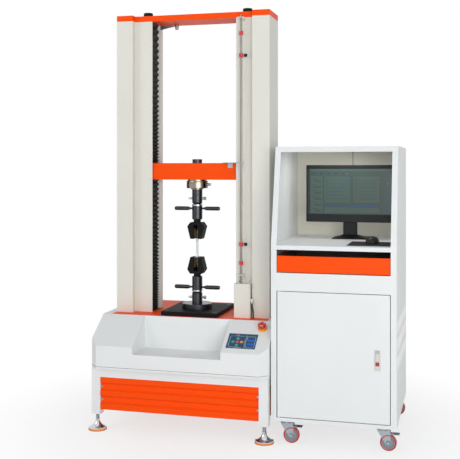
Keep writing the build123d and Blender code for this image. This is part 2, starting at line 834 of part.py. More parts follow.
upper_end_h = load_cell_bottom - upper_mouth_z
lower_end_h = lower_mouth_z - flange_top
grips = (("upper", upper_mouth_z, 1, upper_end_h), ("lower", lower_mouth_z, -1, lower_end_h))
for place, mouth_z, up, end_h in grips:
    with BuildPart() as body:
        grip_body(mouth_z, up)
    save(body, f"{place}_grip_body")
    with BuildPart() as turning_sleeve:
        sleeve(mouth_z, up)
    save(turning_sleeve, f"{place}_sleeve")
    with BuildPart() as coupling:
        if place == "lower":
            post(0, 0, platen_top, flange_top, flange_d)
            chamfer(coupling.edges().group_by(Axis.Z)[-1], platen_edge)
        adapter(mouth_z, up, end_h)
    save(coupling, f"{place}_adapter")
    with BuildPart() as pin:
        cross_pin(mouth_z, up)
    save(pin, f"{place}_pin")
    for side, hand in zip(sides, ("left", "right")):
        with BuildPart() as wedge_jaw:
            jaw(mouth_z, up, side)
        save(wedge_jaw, f"{place}_jaw_{hand}")

# Flat test piece held between the jaws
with BuildPart() as test_specimen:
    block(-specimen_thickness / 2, specimen_thickness / 2, -specimen_width / 2, specimen_width / 2,
          lower_mouth_z - specimen_grip, upper_mouth_z + specimen_grip)
save(test_specimen, "test_specimen")

# Limit rod, its collars, brackets and switch box
with BuildPart() as limit_rod:
    post(rod_x, rod_y, rod_bottom, rod_top, rod_d)
save(limit_rod, "limit_rod")


def collar(z):
    post(rod_x, rod_y, z - collar_h / 2, z + collar_h / 2, collar_d)


def collar_bore(z):
    post(rod_x, rod_y, z - collar_h / 2, z + collar_h / 2, rod_d + 2 * running_fit, Mode.SUBTRACT)


with BuildPart() as end_collars:
    for z in end_collar_z:
        collar(z)
        collar_bore(z)
save(end_collars, "end_collars")

for name, z in (("upper_collar", upper_collar_z), ("lower_collar", lower_collar_z)):
    with BuildPart() as thumb_collar:
        collar(z)
        neck_end = rod_x + collar_d / 2 + knob_neck_length
        rod_along_x(rod_x, neck_end, rod_y, z, knob_neck_d)
        rod_along_x(neck_end, neck_end + knob_length, rod_y, z, knob_d)
        collar_bore(z)
    save(thumb_collar, name)

bracket_x0 = rod_x - bracket_width / 2
bracket_x1 = rod_x + bracket_width / 2
bracket_y = rod_y - bracket_width / 2
with BuildPart() as rod_brackets:
    for z in (lower_bracket_z, upper_bracket_z):
        block(bracket_x0, bracket_x1, step_front_y - bracket_sheet, step_front_y, z, z + bracket_height)
        arm_z = z + bracket_height - bracket_sheet
        block(bracket_x0, bracket_x1, bracket_y, step_front_y, arm_z, z + bracket_height)
        post(rod_x, rod_y, arm_z, z + bracket_height, rod_d + 2 * running_fit, Mode.SUBTRACT)
save(rod_brackets, "rod_brackets")

with BuildPart() as limit_switch_box:
    block(box_x0, box_x1, box_front_y, step_front_y, table_top, box_top)
    chamfer(limit_switch_box.faces().sort_by(Axis.Y)[0].edges().filter_by(Axis.Z), box_wall)
    block(box_x0 + box_wall, box_x1 - box_wall, box_front_y + box_wall, step_front_y - box_wall,
          table_top + box_wall, box_top - box_wall, Mode.SUBTRACT)
    post(rod_x, rod_y, box_top - box_wall, box_top, rod_d + 2 * seat_gap, Mode.SUBTRACT)
    rod_along_x(box_x1, box_x1 + gland_length, cable_exit_y, cable_exit_z, gland_d)
    post(box_x1 + gland_length, cable_exit_y, cable_exit_z - gland_drop, cable_exit_z + gland_d / 2, gland_d)
save(limit_switch_box, "limit_switch_box")

# Switch cable, from the elbow gland on the box down to the table
cable_x0 = box_x1 + gland_length
cable_z0 = cable_exit_z - gland_drop
cable_route = [
    (cable_x0, cable_exit_y, cable_z0),
    (cable_x0, cable_exit_y, cable_z0 - 14),
    (cable_x0 + 5, cable_exit_y - 1, cable_z0 - 32),
    (cable_x0 + 7, cable_exit_y - 2, cable_z0 - 52),
    (cable_x0 + 7, cable_exit_y - 2, table_top),
]


def route_radii(route):
    # Gives each corner the largest arc that its two runs allow.
    points = [Vector(*p) for p in route]
    radii = []
    for before, here, after in zip(points, points[1:], points[2:]):
        turn = (here - before).get_angle(after - here)
        run = min((here - before).length, (after - here).length)
        radii.append(cable_corner_share * run / tan(radians(turn / 2)))
    return radii


cable_radii = route_radii(cable_route)
print("switch cable radii", [round(r, 1) for r in cable_radii])
with BuildPart() as switch_cable:
    with BuildLine():
        cable_path = FilletPolyline(*cable_route, radius=cable_radii)
    with BuildSketch(Plane(origin=cable_path @ 0, z_dir=cable_path % 0)):
        Circle(cable_d / 2)
    sweep()
print("switch cable length", round(cable_path.length, 1))
save(switch_cable, "switch_cable")


# Bellows: pleated curtains in the column slots, with pleats that close up towards the bottom
def bellows(side, z0, z1):
    folds = 2 * bellows_pleats
    steps = [z0 + (z1 - z0) * (i / folds) ** bellows_sag for i in range(folds + 1)]
    ridge = [(side * (bellows_x0 + bellows_amplitude * (i % 2)), z) for i, z in enumerate(steps)]
    back = [(x + side * bellows_sheet, z) for x, z in reversed(ridge)]
    with BuildSketch(Plane.XZ.offset(-bellows_width / 2)) as pleats:
        with BuildLine():
            Polyline(*ridge, *back, close=True)
        make_face()
    extrude(pleats.sketch, amount=bellows_width)


bellows_ends = (("upper_bellows", crosshead_top, beam_bottom), ("lower_bellows", table_top, crosshead_bottom))
for name, z0, z1 in bellows_ends:
    with BuildPart() as bellows_pair:
        for side in sides:
            bellows(side, z0 + seat_gap, z1 - seat_gap)
    save(bellows_pair, name)


# Operator panel with raised keys, and the stop button beside it, both square to the slope
def slope_plane(x, y):
    z = cover_slope_z + slope_rise * (y - cover_front_y)
    return Plane(origin=(x, y, z), x_dir=(1, 0, 0), z_dir=slope_normal)


arrow_keys = [(arrow_u, arrow_v)]
for du, dv in ((-1, 0), (1, 0), (0, -1), (0, 1)):
    arrow_keys.append((arrow_u + du * arrow_pitch, arrow_v + dv * arrow_pitch))
soft_keys = [
    (soft_key_u + su * soft_key_pitch_u / 2, soft_key_v + sv * soft_key_pitch_v / 2) for su, sv in corners
]
with BuildPart(slope_plane(panel_x, panel_y)) as control_panel:
    Box(panel_width, panel_length, panel_plate, align=(Align.CENTER, Align.CENTER, Align.MIN))
    chamfer(control_panel.edges().filter_by(Axis((0, 0, 0), slope_normal)), panel_plate)
    for u, v in arrow_keys + soft_keys:
        with Locations((u, v, panel_plate)):
            Box(key_size, key_size, key_rise, align=(Align.CENTER, Align.CENTER, Align.MIN))
save(control_panel, "control_panel")

with BuildPart(slope_plane(stop_x, stop_y)) as estop_base:
    Cylinder(stop_ring_d / 2, stop_ring_h, align=(Align.CENTER, Align.CENTER, Align.MIN))
    Cylinder(stop_stem_d / 2 + seat_gap, stop_ring_h, align=(Align.CENTER, Align.CENTER, Align.MIN),
             mode=Mode.SUBTRACT)
save(estop_base, "estop_base")

head_start = stop_ring_h + stop_travel + seat_gap
with BuildPart(slope_plane(stop_x, stop_y)) as estop_button:
    with Locations((0, 0, stop_travel + seat_gap)):
        Cylinder(stop_stem_d / 2, head_start - stop_travel, align=(Align.CENTER, Align.CENTER, Align.MIN))
    with Locations((0, 0, head_start)):
        Cylinder(stop_head_d / 2, stop_head_h, align=(Align.CENTER, Align.CENTER, Align.MIN))
save(estop_button, "estop_button")

# Cabinet shell: one folded sheet box with a sloped upper front, open at the bay, drawer and door
bay_x0 = cab_left_x + cab_flange
bay_x1 = cab_right_x - cab_flange
door_top = apron_bottom - door_gap
sill_top = cab_bottom + door_lip
door_bottom = sill_top + door_gap
door_back_y = cab_front_y + door_thickness
front_inside_y = cab_front_y + cab_sheet
runner_top = drawer_bottom + drawer_wall - seat_gap
door_x0 = bay_x0 + door_gap
door_x1 = bay_x1 - door_gap
lock_x = door_x1 - lock_edge
door_axis = (door_x0 + door_pin_edge, cab_front_y + door_pin_edge)
shelf_bottom = cab_shelf_top - cab_shelf
apron_top = drawer_bottom - door_gap
side_outline = [
    (cab_front_y, cab_bottom),
    (cab_front_y, cab_kink_z),
    (cab_front_y + cab_setback, cab_top),
    (cab_back_y, cab_top),
    (cab_back_y, cab_bottom),
]
with BuildPart() as cabinet_shell:
    with BuildSketch(Plane.YZ.offset(cab_left_x)):
        with BuildLine():
            Polyline(*side_outline, close=True)
        make_face()
    extrude(amount=cab_width)
    with BuildSketch(Plane.YZ.offset(cab_left_x + cab_sheet)):
        with BuildLine():
            Polyline(*side_outline, close=True)
        make_face()
        offset(amount=-cab_sheet, kind=Kind.INTERSECTION, mode=Mode.REPLACE)
    extrude(amount=cab_width - 2 * cab_sheet, mode=Mode.SUBTRACT)
    bay_front_y = cab_front_y - overcut
    bay_back_y = cab_front_y + cab_setback + cab_sheet
    block(bay_x0, bay_x1, bay_front_y, bay_back_y, cab_shelf_top, cab_top - cab_flange, Mode.SUBTRACT)
    block(bay_x0, bay_x1, bay_front_y, front_inside_y, apron_top, shelf_bottom, Mode.SUBTRACT)
    block(bay_x0, bay_x1, bay_front_y, front_inside_y, sill_top, apron_bottom, Mode.SUBTRACT)
    shelf_x0 = cab_left_x + cab_sheet
    shelf_x1 = cab_right_x - cab_sheet
    block(shelf_x0, shelf_x1, front_inside_y, cab_back_y - cab_sheet,
          cab_shelf_top - cab_sheet, cab_shelf_top)
    block(bay_x0, bay_x1, cab_front_y, door_back_y, sill_top - cab_sheet, sill_top)
    block(bay_x0, bay_x1, cab_front_y, door_back_y, apron_bottom, apron_bottom + cab_sheet)
    for runner_x in (shelf_x0, bay_x1 - runner_width):
        runner_x1 = runner_x + runner_width + cab_flange - cab_sheet
        runner_back_y = front_inside_y + drawer_length
        block(runner_x, runner_x1, door_back_y, runner_back_y, runner_top - runner_height, runner_top)
    post(*door_axis, apron_bottom - door_pin_length, apron_bottom, door_pin_d)
    post(*door_axis, sill_top, sill_top + door_pin_length, door_pin_d)
save(cabinet_shell, "cabinet_shell")

# Cabinet door: a sheet tray with pin blocks in its hinge corners and a raised lock plate
pin_bore_h = door_pin_length - door_gap + seat_gap
pin_block = 2 * door_pin_edge + cab_sheet
with BuildPart() as cabinet_door:
    block(door_x0, door_x1, cab_front_y, door_back_y, door_bottom, door_top)
    chamfer(cabinet_door.faces().sort_by(Axis.Y)[0].edges(), door_gap / 2)
    block(door_x0 + cab_sheet, door_x1 - cab_sheet, cab_front_y + cab_sheet, door_back_y,
          door_bottom + cab_sheet, door_top - cab_sheet, Mode.SUBTRACT)
    for block_z in (door_bottom, door_top - pin_block):
        block(door_x0, door_x0 + pin_block, front_inside_y, door_back_y, block_z, block_z + pin_block)
    post(*door_axis, door_top - pin_bore_h, door_top, door_pin_d + 2 * running_fit, Mode.SUBTRACT)
    post(*door_axis, door_bottom, door_bottom + pin_bore_h, door_pin_d + 2 * running_fit, Mode.SUBTRACT)
    block(lock_x - lock_width / 2, lock_x + lock_width / 2, cab_front_y - lock_depth, cab_front_y,
          lock_z - lock_height / 2, lock_z + lock_height / 2)
save(cabinet_door, "cabinet_door")

# Drawer: an open box behind a front plate, riding on two runners
drawer_x0 = bay_x0 + drawer_side_gap
drawer_x1 = bay_x1 - drawer_side_gap
drawer_floor = drawer_bottom + drawer_wall
drawer_back_y = front_inside_y + drawer_length - drawer_wall
with BuildPart() as cabinet_drawer:
    block(bay_x0 + door_gap / 2, bay_x1 - door_gap / 2, cab_front_y, door_back_y, drawer_bottom, drawer_top)
    chamfer(cabinet_drawer.faces().sort_by(Axis.Y)[0].edges(), door_gap / 2)
    block(drawer_x0, drawer_x1, door_back_y, drawer_back_y, drawer_floor, drawer_top - door_gap)
    block(drawer_x0 + drawer_wall, drawer_x1 - drawer_wall,
          cab_front_y + drawer_wall, drawer_back_y - drawer_wall,
          drawer_floor + drawer_wall, drawer_top, Mode.SUBTRACT)
save(cabinet_drawer, "cabinet_drawer")

# Casters: swivel forks at the front with brake pedals, fixed forks at the back, all under top plates
caster_xs = (cab_left_x + caster_edge, cab_right_x - caster_edge)
caster_front_y = cab_front_y + caster_edge - caster_trail
caster_back_y = cab_back_y - caster_edge + caster_trail
axle_z = wheel_d / 2
head_top = cab_bottom - caster_plate_h
head_bottom = head_top - caster_head_h


def caster_top_plate(x, y):
    with Locations((x, y, cab_bottom - caster_plate_h / 2)):
        Box(caster_plate, caster_plate, caster_plate_h)


def caster_fork(x, y, pedal):
    post(x, y, head_bottom, head_top, caster_head_d)
    cheek_y = wheel_width / 2 + fork_gap
    for s in sides:
        with BuildSketch(Plane.XZ.offset(-y - s * (cheek_y + fork_sheet / 2) - fork_sheet / 2)) as cheek:
            with BuildLine():
                Polyline(
                    (x - caster_head_d / 2, head_bottom + caster_head_h / 2),
                    (x + caster_trail + axle_d, head_bottom + caster_head_h / 2),
                    (x + caster_trail + axle_d, axle_z - axle_d),
                    (x + caster_trail - axle_d, axle_z - axle_d),
                    (x - caster_head_d / 2, head_bottom),
                    close=True,
                )
            make_face()
        extrude(cheek.sketch, amount=fork_sheet)
    bridge = caster_head_h / 2
    outer_y = cheek_y + fork_sheet
    block(x - caster_head_d / 2, x + caster_trail + axle_d, y - outer_y, y + outer_y,
          head_bottom + bridge - fork_sheet, head_bottom + bridge)
    rod_along_y(x + caster_trail, y - outer_y, y + outer_y, axle_z, axle_d)
    if pedal:
        pedal_x = x + caster_trail + axle_d
        block(pedal_x, pedal_x + pedal_length, y - outer_y, y + outer_y, wheel_d, wheel_d + fork_sheet)


for hand, x in zip(("left", "right"), caster_xs):
    with BuildPart() as fork:
        caster_fork(x, caster_front_y, True)
    save(fork, f"front_{hand}_fork")
with BuildPart() as caster_mounts:
    for x in caster_xs:
        caster_top_plate(x, caster_front_y)
        caster_top_plate(x, caster_back_y)
        caster_fork(x, caster_back_y, False)
save(caster_mounts, "caster_mounts")

for end, y in (("front", caster_front_y), ("rear", caster_back_y)):
    for hand, x in zip(("left", "right"), caster_xs):
        with BuildPart() as wheel:
            rod_along_y(x + caster_trail, y - wheel_width / 2, y + wheel_width / 2, axle_z, wheel_d)
            fillet(wheel.edges().filter_by(GeomType.CIRCLE), wheel_width / 8)
            rod_along_y(x + caster_trail, y - wheel_width / 2, y + wheel_width / 2, axle_z,
                        axle_d + 2 * running_fit, Mode.SUBTRACT)
        save(wheel, f"{end}_{hand}_wheel")

# Monitor on its stand
monitor_mid_z = monitor_bottom + monitor_height / 2
with BuildPart() as monitor:
    with Locations((monitor_x, monitor_y + stand_setback, cab_shelf_top + stand_plate / 2)):
        Box(stand_width, stand_depth, stand_plate)
    neck_y = monitor_y + monitor_depth / 2
    block(monitor_x - stand_neck_width / 2, monitor_x + stand_neck_width / 2,
          neck_y, neck_y + stand_neck_depth, cab_shelf_top + stand_plate, monitor_mid_z)
    with Locations((monitor_x, monitor_y, monitor_mid_z)):
        Box(monitor_width, monitor_depth, monitor_height)
save(monitor, "monitor")
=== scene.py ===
"""Looks of a floor-standing universal testing machine and its control cabinet."""

import logging
import math
from abc import ABC, abstractmethod
from dataclasses import dataclass
from enum import Enum
from typing import Any, Sequence

import bmesh
import bpy
from mathutils import Matrix, Vector


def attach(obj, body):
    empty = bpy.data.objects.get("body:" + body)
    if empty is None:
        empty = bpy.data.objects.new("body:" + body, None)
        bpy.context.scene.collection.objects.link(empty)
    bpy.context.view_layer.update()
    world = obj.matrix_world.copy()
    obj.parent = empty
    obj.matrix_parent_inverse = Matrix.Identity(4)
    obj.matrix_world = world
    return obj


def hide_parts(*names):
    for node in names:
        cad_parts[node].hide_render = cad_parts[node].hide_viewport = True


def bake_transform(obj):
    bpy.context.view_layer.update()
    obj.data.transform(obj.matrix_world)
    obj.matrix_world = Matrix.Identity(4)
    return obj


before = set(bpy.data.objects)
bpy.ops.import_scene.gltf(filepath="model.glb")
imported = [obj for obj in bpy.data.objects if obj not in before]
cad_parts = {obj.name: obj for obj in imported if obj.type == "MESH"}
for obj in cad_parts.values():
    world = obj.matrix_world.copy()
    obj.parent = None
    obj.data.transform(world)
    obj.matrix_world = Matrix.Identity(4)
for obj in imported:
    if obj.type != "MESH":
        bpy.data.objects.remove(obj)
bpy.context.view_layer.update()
LOG = logging.getLogger("testing_machine")
# The load axis of the machine in the row frame; every size below is in millimetres from it and the floor.
LOAD_AXIS = Vector((-0.2855, -0.010, 0.0))
MILLIMETRE = 0.001
SHARP_EDGE = math.radians(32.0)
# A run of a turned profile that is longer than LONG_RUN gets a point RUN_END from each of its ends.
LONG_RUN = 8.0
RUN_END = 0.4
# Heights over the floor that sub-assemblies share.
TABLE_TOP = 544.0
LOWER_MOUTH = 825.0
UPPER_MOUTH = 918.0
SHELF_TOP = 920.0
CROSSHEAD_LOW = 1219.0
# Foot and top edge of the cover's sloped front, behind the load axis and over the floor.
SLOPE_FOOT_Y, SLOPE_FOOT_Z = -350.0, 420.0
SLOPE_TOP_Y, SLOPE_TOP_Z = -170.0, TABLE_TOP
SLOPE = math.atan2(SLOPE_TOP_Z - SLOPE_FOOT_Z, SLOPE_TOP_Y - SLOPE_FOOT_Y)
UPRIGHT = Matrix.Identity(4)
WHITE = (1.0, 1.0, 1.0, 1.0)

Pair = tuple[float, float]
Triple = tuple[float, float, float]
# A noise node's value keeps mostly between these two.
GRAIN_RANGE: Pair = (0.25, 0.75)
# The lowest roughness that a finish goes down to.
SMOOTHEST = 0.03


def at(x: float, y: float, z: float) -> Vector:
    """Turns a point from the load axis into the row frame.

    Args:
        x: Millimetres to the right of the load axis.
        y: Millimetres behind it.
        z: Millimetres above the floor.

    Returns:
        The point in metres.
    """
    return LOAD_AXIS + Vector((x, y, z)) * MILLIMETRE


def facing(origin: Sequence[float], x_dir: Sequence[float], z_dir: Sequence[float]) -> Matrix:
    """Makes the placement of a form whose own Z looks along z_dir.

    Args:
        origin: Where the form's own origin goes, in millimetres.
        x_dir: Direction of the form's own X.
        z_dir: Direction of the form's own Z.

    Returns:
        The placement.
    """
    z_axis = Vector(z_dir).normalized()
    x_axis = Vector(x_dir).normalized()
    turn = Matrix((x_axis, z_axis.cross(x_axis), z_axis)).transposed()
    return Matrix.Translation(Vector(origin)) @ turn.to_4x4()


def linear(code: str) -> tuple[float, float, float, float]:
    """Turns an sRGB hex colour into a linear one.

    Args:
        code: Six hex digits after a hash sign.

    Returns:
        Red, green, blue and full alpha.
    """
    parts = [int(code[i : i + 2], 16) / 255.0 for i in (1, 3, 5)]
    red, green, blue = (c / 12.92 if c <= 0.04045 else ((c + 0.055) / 1.055) ** 2.4 for c in parts)
    return (red, green, blue, 1.0)


def add_node(
    tree: bpy.types.NodeTree,
    kind: str,
    values: dict[Any, Any] | None = None,
    links: dict[Any, bpy.types.NodeSocket] | None = None,
    **settings: Any,
) -> bpy.types.Node:
    """Adds a node with its settings and links.

    Args:
        tree: The material's or world's node tree.
        kind: The node's type.
        values: Input values by socket name or number.
        links: Sources by input socket name or number.
        **settings: The node's own properties.

    Returns:
        The new node.
    """
    node = tree.nodes.new(kind)
    for key, value in settings.items():
        setattr(node, key, value)
    for socket, value in (values or {}).items():
        node.inputs[socket].default_value = value
    for socket, source in (links or {}).items():
        tree.links.new(source, node.inputs[socket])
    return node


class Lay(Enum):
    """Direction in which a tool or a fibre has drawn a surface, as a stretch along X, Y and Z."""

    EVEN = (1.0, 1.0, 1.0)
    ALONG_X = (0.05, 1.0, 1.0)
    ALONG_Y = (1.0, 0.05, 1.0)
    ALONG_Z = (1.0, 1.0, 0.05)
    TURNED = (0.08, 0.08, 1.0)


@dataclass(frozen=True)
class Finish(ABC):
    """A surface as it was made: its two tones, its gloss and the size of its grain."""

    name: str
    colour: str
    shade: str
    roughness: float

    def material(self) -> bpy.types.Material:
        """Makes the finish a material, once.

        Returns:
            The material.
        """
        found = bpy.data.materials.get(self.name)
        if found is None:
            found = bpy.data.materials.new(self.name)
            found.use_nodes = True
            tree = found.node_tree
            self.dress(tree, tree.nodes["Principled BSDF"])
        return found

    @abstractmethod
    def dress(self, tree: bpy.types.NodeTree, shader: bpy.types.Node) -> None:
        """Fills the shader's sockets.

        Args:
            tree: The material's node tree.
            shader: Its shader.
        """

    def grain(
        self, tree: bpy.types.NodeTree, size_mm: float, lay: Lay = Lay.EVEN, detail: float = 2.0
    ) -> bpy.types.NodeSocket:
        """Adds a grain that keeps its real size on the piece.

        Args:
            tree: The material's node tree.
            size_mm: Width of one grain.
            lay: Direction in which the grain is drawn out.
            detail: How much finer grain is mixed in.

        Returns:
            The grain's value.
        """
        place = add_node(tree, "ShaderNodeTexCoord").outputs["Object"]
        drawn = add_node(tree, "ShaderNodeMapping", {"Scale": lay.value}, {"Vector": place})
        scale = {"Scale": 1.0 / (size_mm * MILLIMETRE), "Detail": detail}
        return add_node(tree, "ShaderNodeTexNoise", scale, {"Vector": drawn.outputs[0]}).outputs[0]

    def tint(self, tree: bpy.types.NodeTree, shader: bpy.types.Node, share: bpy.types.NodeSocket) -> None:
        """Colours the surface between its two tones.

        Args:
            tree: The material's node tree.
            shader: Its shader.
            share: 0 for the first tone, 1 for the second.
        """
        tones = {6: linear(self.colour), 7: linear(self.shade)}
        mixed = add_node(tree, "ShaderNodeMix", tones, {0: share}, data_type="RGBA")
        tree.links.new(mixed.outputs[2], shader.inputs["Base Color"])

    def gloss(
        self, tree: bpy.types.NodeTree, shader: bpy.types.Node, share: bpy.types.NodeSocket, spread: float
    ) -> None:
        """Varies the roughness to each side of its typical value.

        Args:
            tree: The material's node tree.
            shader: Its shader.
            share: The grain that it follows.
            spread: How far it goes to each side.
        """
        low, high = GRAIN_RANGE
        span = {1: low, 2: high, 3: max(self.roughness - spread, SMOOTHEST), 4: self.roughness + spread}
        ranged = add_node(tree, "ShaderNodeMapRange", span, {0: share})
        tree.links.new(ranged.outputs[0], shader.inputs["Roughness"])

    def relief(
        self, tree: bpy.types.NodeTree, shader: bpy.types.Node, height: bpy.types.NodeSocket, depth_mm: float
    ) -> None:
        """Raises the surface by height, depth_mm from its lowest to its highest point."""
        bump = add_node(tree, "ShaderNodeBump", {"Distance": depth_mm * MILLIMETRE}, {"Height": height})
        tree.links.new(bump.outputs[0], shader.inputs["Normal"])


@dataclass(frozen=True)
class PowderCoat(Finish):
    """Epoxy-polyester powder, baked on sheet: a soft sheen over a fine peel, with faint clouds of tone."""

    # The real peel is about 1 mm wide; it is drawn coarser so that it shows at all.
    peel_mm: float = 6.0
    peel_depth_mm: float = 0.12
    cloud_mm: float = 320.0
    gloss_spread: float = 0.06
    specular: float = 0.5

    def dress(self, tree: bpy.types.NodeTree, shader: bpy.types.Node) -> None:
        """Fills the shader's sockets.

        Args:
            tree: The material's node tree.
            shader: Its shader.
        """
        peel = self.grain(tree, self.peel_mm)
        shader.inputs["Specular IOR Level"].default_value = self.specular
        self.tint(tree, shader, self.grain(tree, self.cloud_mm))
        self.gloss(tree, shader, peel, self.gloss_spread)
        self.relief(tree, shader, peel, self.peel_depth_mm)


@dataclass(frozen=True)
class MachinedMetal(Finish):
    """Metal as a tool left it: fine marks along one lay catch the light as streaks."""

    lay: Lay = Lay.TURNED
    # Tool marks are a tenth of a millimetre apart; they are drawn coarser so that they show.
    mark_mm: float = 3.0
    metallic: float = 1.0
    mark_depth_mm: float = 0.05
    mark_detail: float = 4.0
    gloss_spread: float = 0.08
    specular: float = 0.5

    def dress(self, tree: bpy.types.NodeTree, shader: bpy.types.Node) -> None:
        """Fills the shader's sockets.

        Args:
            tree: The material's node tree.
            shader: Its shader.
        """
        marks = self.grain(tree, self.mark_mm, self.lay, self.mark_detail)
        shader.inputs["Specular IOR Level"].default_value = self.specular
        shader.inputs["Metallic"].default_value = self.metallic
        self.tint(tree, shader, marks)
        self.gloss(tree, shader, marks, self.gloss_spread)
        self.relief(tree, shader, marks, self.mark_depth_mm)


@dataclass(frozen=True)
class RidgedMetal(MachinedMetal):
    """Metal with a cut of even ridges up its height, such as a screw's groove or a jaw's teeth."""

    pitch_mm: float = 10.0
    ridge_mm: float = 1.0

    def dress(self, tree: bpy.types.NodeTree, shader: bpy.types.Node) -> None:
        """Fills the shader's sockets.

        Args:
            tree: The material's node tree.
            shader: Its shader.
        """
        marks = self.grain(tree, self.mark_mm, self.lay)
        shader.inputs["Metallic"].default_value = self.metallic
        self.gloss(tree, shader, marks, self.gloss_spread)
        place = add_node(tree, "ShaderNodeTexCoord").outputs["Object"]
        # One period of the wave node is two pi over twenty of its scale.
        scale = {"Scale": math.tau / (20.0 * self.pitch_mm * MILLIMETRE), "Distortion": 0.0}
        ridges = add_node(tree, "ShaderNodeTexWave", scale, {"Vector": place}, bands_direction="Z")
        # The ridges also tint the surface: painted light on each crest and painted shade in each groove.
        self.tint(tree, shader, ridges.outputs[1])
        self.relief(tree, shader, ridges.outputs[1], self.ridge_mm)


@dataclass(frozen=True)
class MouldedPolymer(Finish):
    """Plastic or rubber from a spark-eroded mould: an even fine grit and a broad soft highlight."""

    # Mould grit is finer than half a millimetre; it is drawn coarser so that it shows.
    grit_mm: float = 2.5
    grit_depth_mm: float = 0.08
    ior: float = 1.5
    coat: float = 0.0
    cloud_mm: float = 40.0
    gloss_spread: float = 0.07
    specular: float = 0.5

    def dress(self, tree: bpy.types.NodeTree, shader: bpy.types.Node) -> None:
        """Fills the shader's sockets.

        Args:
            tree: The material's node tree.
            shader: Its shader.
        """
        grit = self.grain(tree, self.grit_mm)
        shader.inputs["IOR"].default_value = self.ior
        shader.inputs["Specular IOR Level"].default_value = self.specular
        shader.inputs["Coat Weight"].default_value = self.coat
        self.tint(tree, shader, self.grain(tree, self.cloud_mm))
        self.gloss(tree, shader, grit, self.gloss_spread)
        self.relief(tree, shader, grit, self.grit_depth_mm)


@dataclass(frozen=True)
class CoatedFabric(Finish):
    """Woven polyester under a rubber coat, folded into pleats: dull, with a trace of its threads."""

    # Real threads lie about half a millimetre apart; they are drawn coarser so that they show.
    thread_mm: float = 4.0
    thread_depth_mm: float = 0.15
    ior: float = 1.52
    gloss_spread: float = 0.08
    sheen: float = 0.01
    specular: float = 0.1

    def dress(self, tree: bpy.types.NodeTree, shader: bpy.types.Node) -> None:
        """Fills the shader's sockets.

        Args:
            tree: The material's node tree.
            shader: Its shader.
        """
        across = self.grain(tree, self.thread_mm, Lay.ALONG_Y)
        along = self.grain(tree, self.thread_mm, Lay.ALONG_Z)
        weave = add_node(tree, "ShaderNodeMath", links={0: across, 1: along}, operation="MAXIMUM")
        shader.inputs["IOR"].default_value = self.ior
        shader.inputs["Specular IOR Level"].default_value = self.specular
        shader.inputs["Sheen Weight"].default_value = self.sheen
        self.tint(tree, shader, weave.outputs[0])
        self.gloss(tree, shader, weave.outputs[0], self.gloss_spread)
        self.relief(tree, shader, weave.outputs[0], self.thread_depth_mm)


@dataclass(frozen=True)
class LitFilm(Finish):
    """A lit display layer under glass: it glows a little and mirrors the room faintly."""

    glow: float = 0.15
    veil_mm: float = 120.0
    gloss_spread: float = 0.04

    def dress(self, tree: bpy.types.NodeTree, shader: bpy.types.Node) -> None:
        """Fills the shader's sockets.

        Args:
            tree: The material's node tree.
            shader: Its shader.
        """
        veil = self.grain(tree, self.veil_mm)
        self.tint(tree, shader, veil)
        self.gloss(tree, shader, veil, self.gloss_spread)
        shader.inputs["Emission Color"].default_value = linear(self.colour)
        shader.inputs["Emission Strength"].default_value = self.glow


# White powder coat: cool and even, with a broad soft sheen.
WHITE_COAT = PowderCoat("white_powder_coat", "#ebeded", "#e3e6e6", 0.42)
# Painted highlight: a whiter coat on the pressed vents, so that they stand out from the side as pale bars.
RIB_HIGHLIGHT_COAT = PowderCoat("rib_highlight_white_coat", "#fbfbfb", "#f3f4f5", 0.35)
# A warmer batch on the columns and the switch box: cream beside the white.
CREAM_COAT = PowderCoat("warm_white_powder_coat", "#e5e3da", "#dcdad0", 0.45)
# The bay's liner: a faint beige grey that is painted shade for the bay's shadow, and duller than the shell.
BAY_SHADE_COAT = PowderCoat("bay_shade_greige_coat", "#ece8da", "#e2decf", 0.5)
# Signal orange: deep and even, with little white sheen over it.
ORANGE_COAT = PowderCoat("orange_powder_coat", "#ff5200", "#fb4c00", 0.45, specular=0.15)
# Painted shade: a dark brown sheet inside the drawer, so that the gap over its front looks dark.
DRAWER_SHADE_COAT = PowderCoat("drawer_shade_brown_coat", "#5e4c44", "#53433c", 0.55)
# Stove enamel: smoother than powder, so its highlight is smaller and clearer.
RED_COAT = PowderCoat("red_stove_enamel", "#d8303f", "#c62636", 0.35)
MOTOR_ENAMEL = PowderCoat("black_stove_enamel", "#26272a", "#1c1d20", 0.4)
# Black oxide keeps the turning marks under it and shines in a narrow grey streak.
BLACK_OXIDE = MachinedMetal("black_oxide_steel", "#45474b", "#303235", 0.26, metallic=0.8)
# Phosphated steel: a matt black with hardly a highlight.
BLACK_PHOSPHATE = MachinedMetal(
    "black_phosphated_steel", "#191a19", "#111211", 0.62, Lay.ALONG_X, 8.0, metallic=0.1, specular=0.12
)
# Ground steel: bright, with fine rings that spread its highlight.
GROUND_STEEL = MachinedMetal("ground_steel", "#b9babb", "#9b9c9e", 0.24)
# Drawn rod: duller and warmer than ground steel, with faint lines down its length.
DRAWN_STEEL = MachinedMetal("drawn_steel_rod", "#8f8a7e", "#7b766b", 0.36, Lay.ALONG_Z, 4.0)
# Polished stainless steel: the room shows in it as warm grey bands.
LOAD_CELL_STEEL = MachinedMetal("polished_stainless_steel", "#9d9487", "#80776b", 0.2, Lay.TURNED, 5.0)
# Rolled screws and cut jaws: light and dark bars, as wide as the lead or the teeth, which are painted light
# on the crests and painted shade in the grooves; the jaws' bronze is also darkened as painted shade inside
# the grips.
SCREW_STEEL = RidgedMetal("rolled_screw_steel", "#8d8e90", "#c0c1c2", 0.25)
JAW_BRONZE = RidgedMetal("serrated_jaw_bronze", "#4a361d", "#86673c", 0.4, pitch_mm=6.0, ridge_mm=0.8)
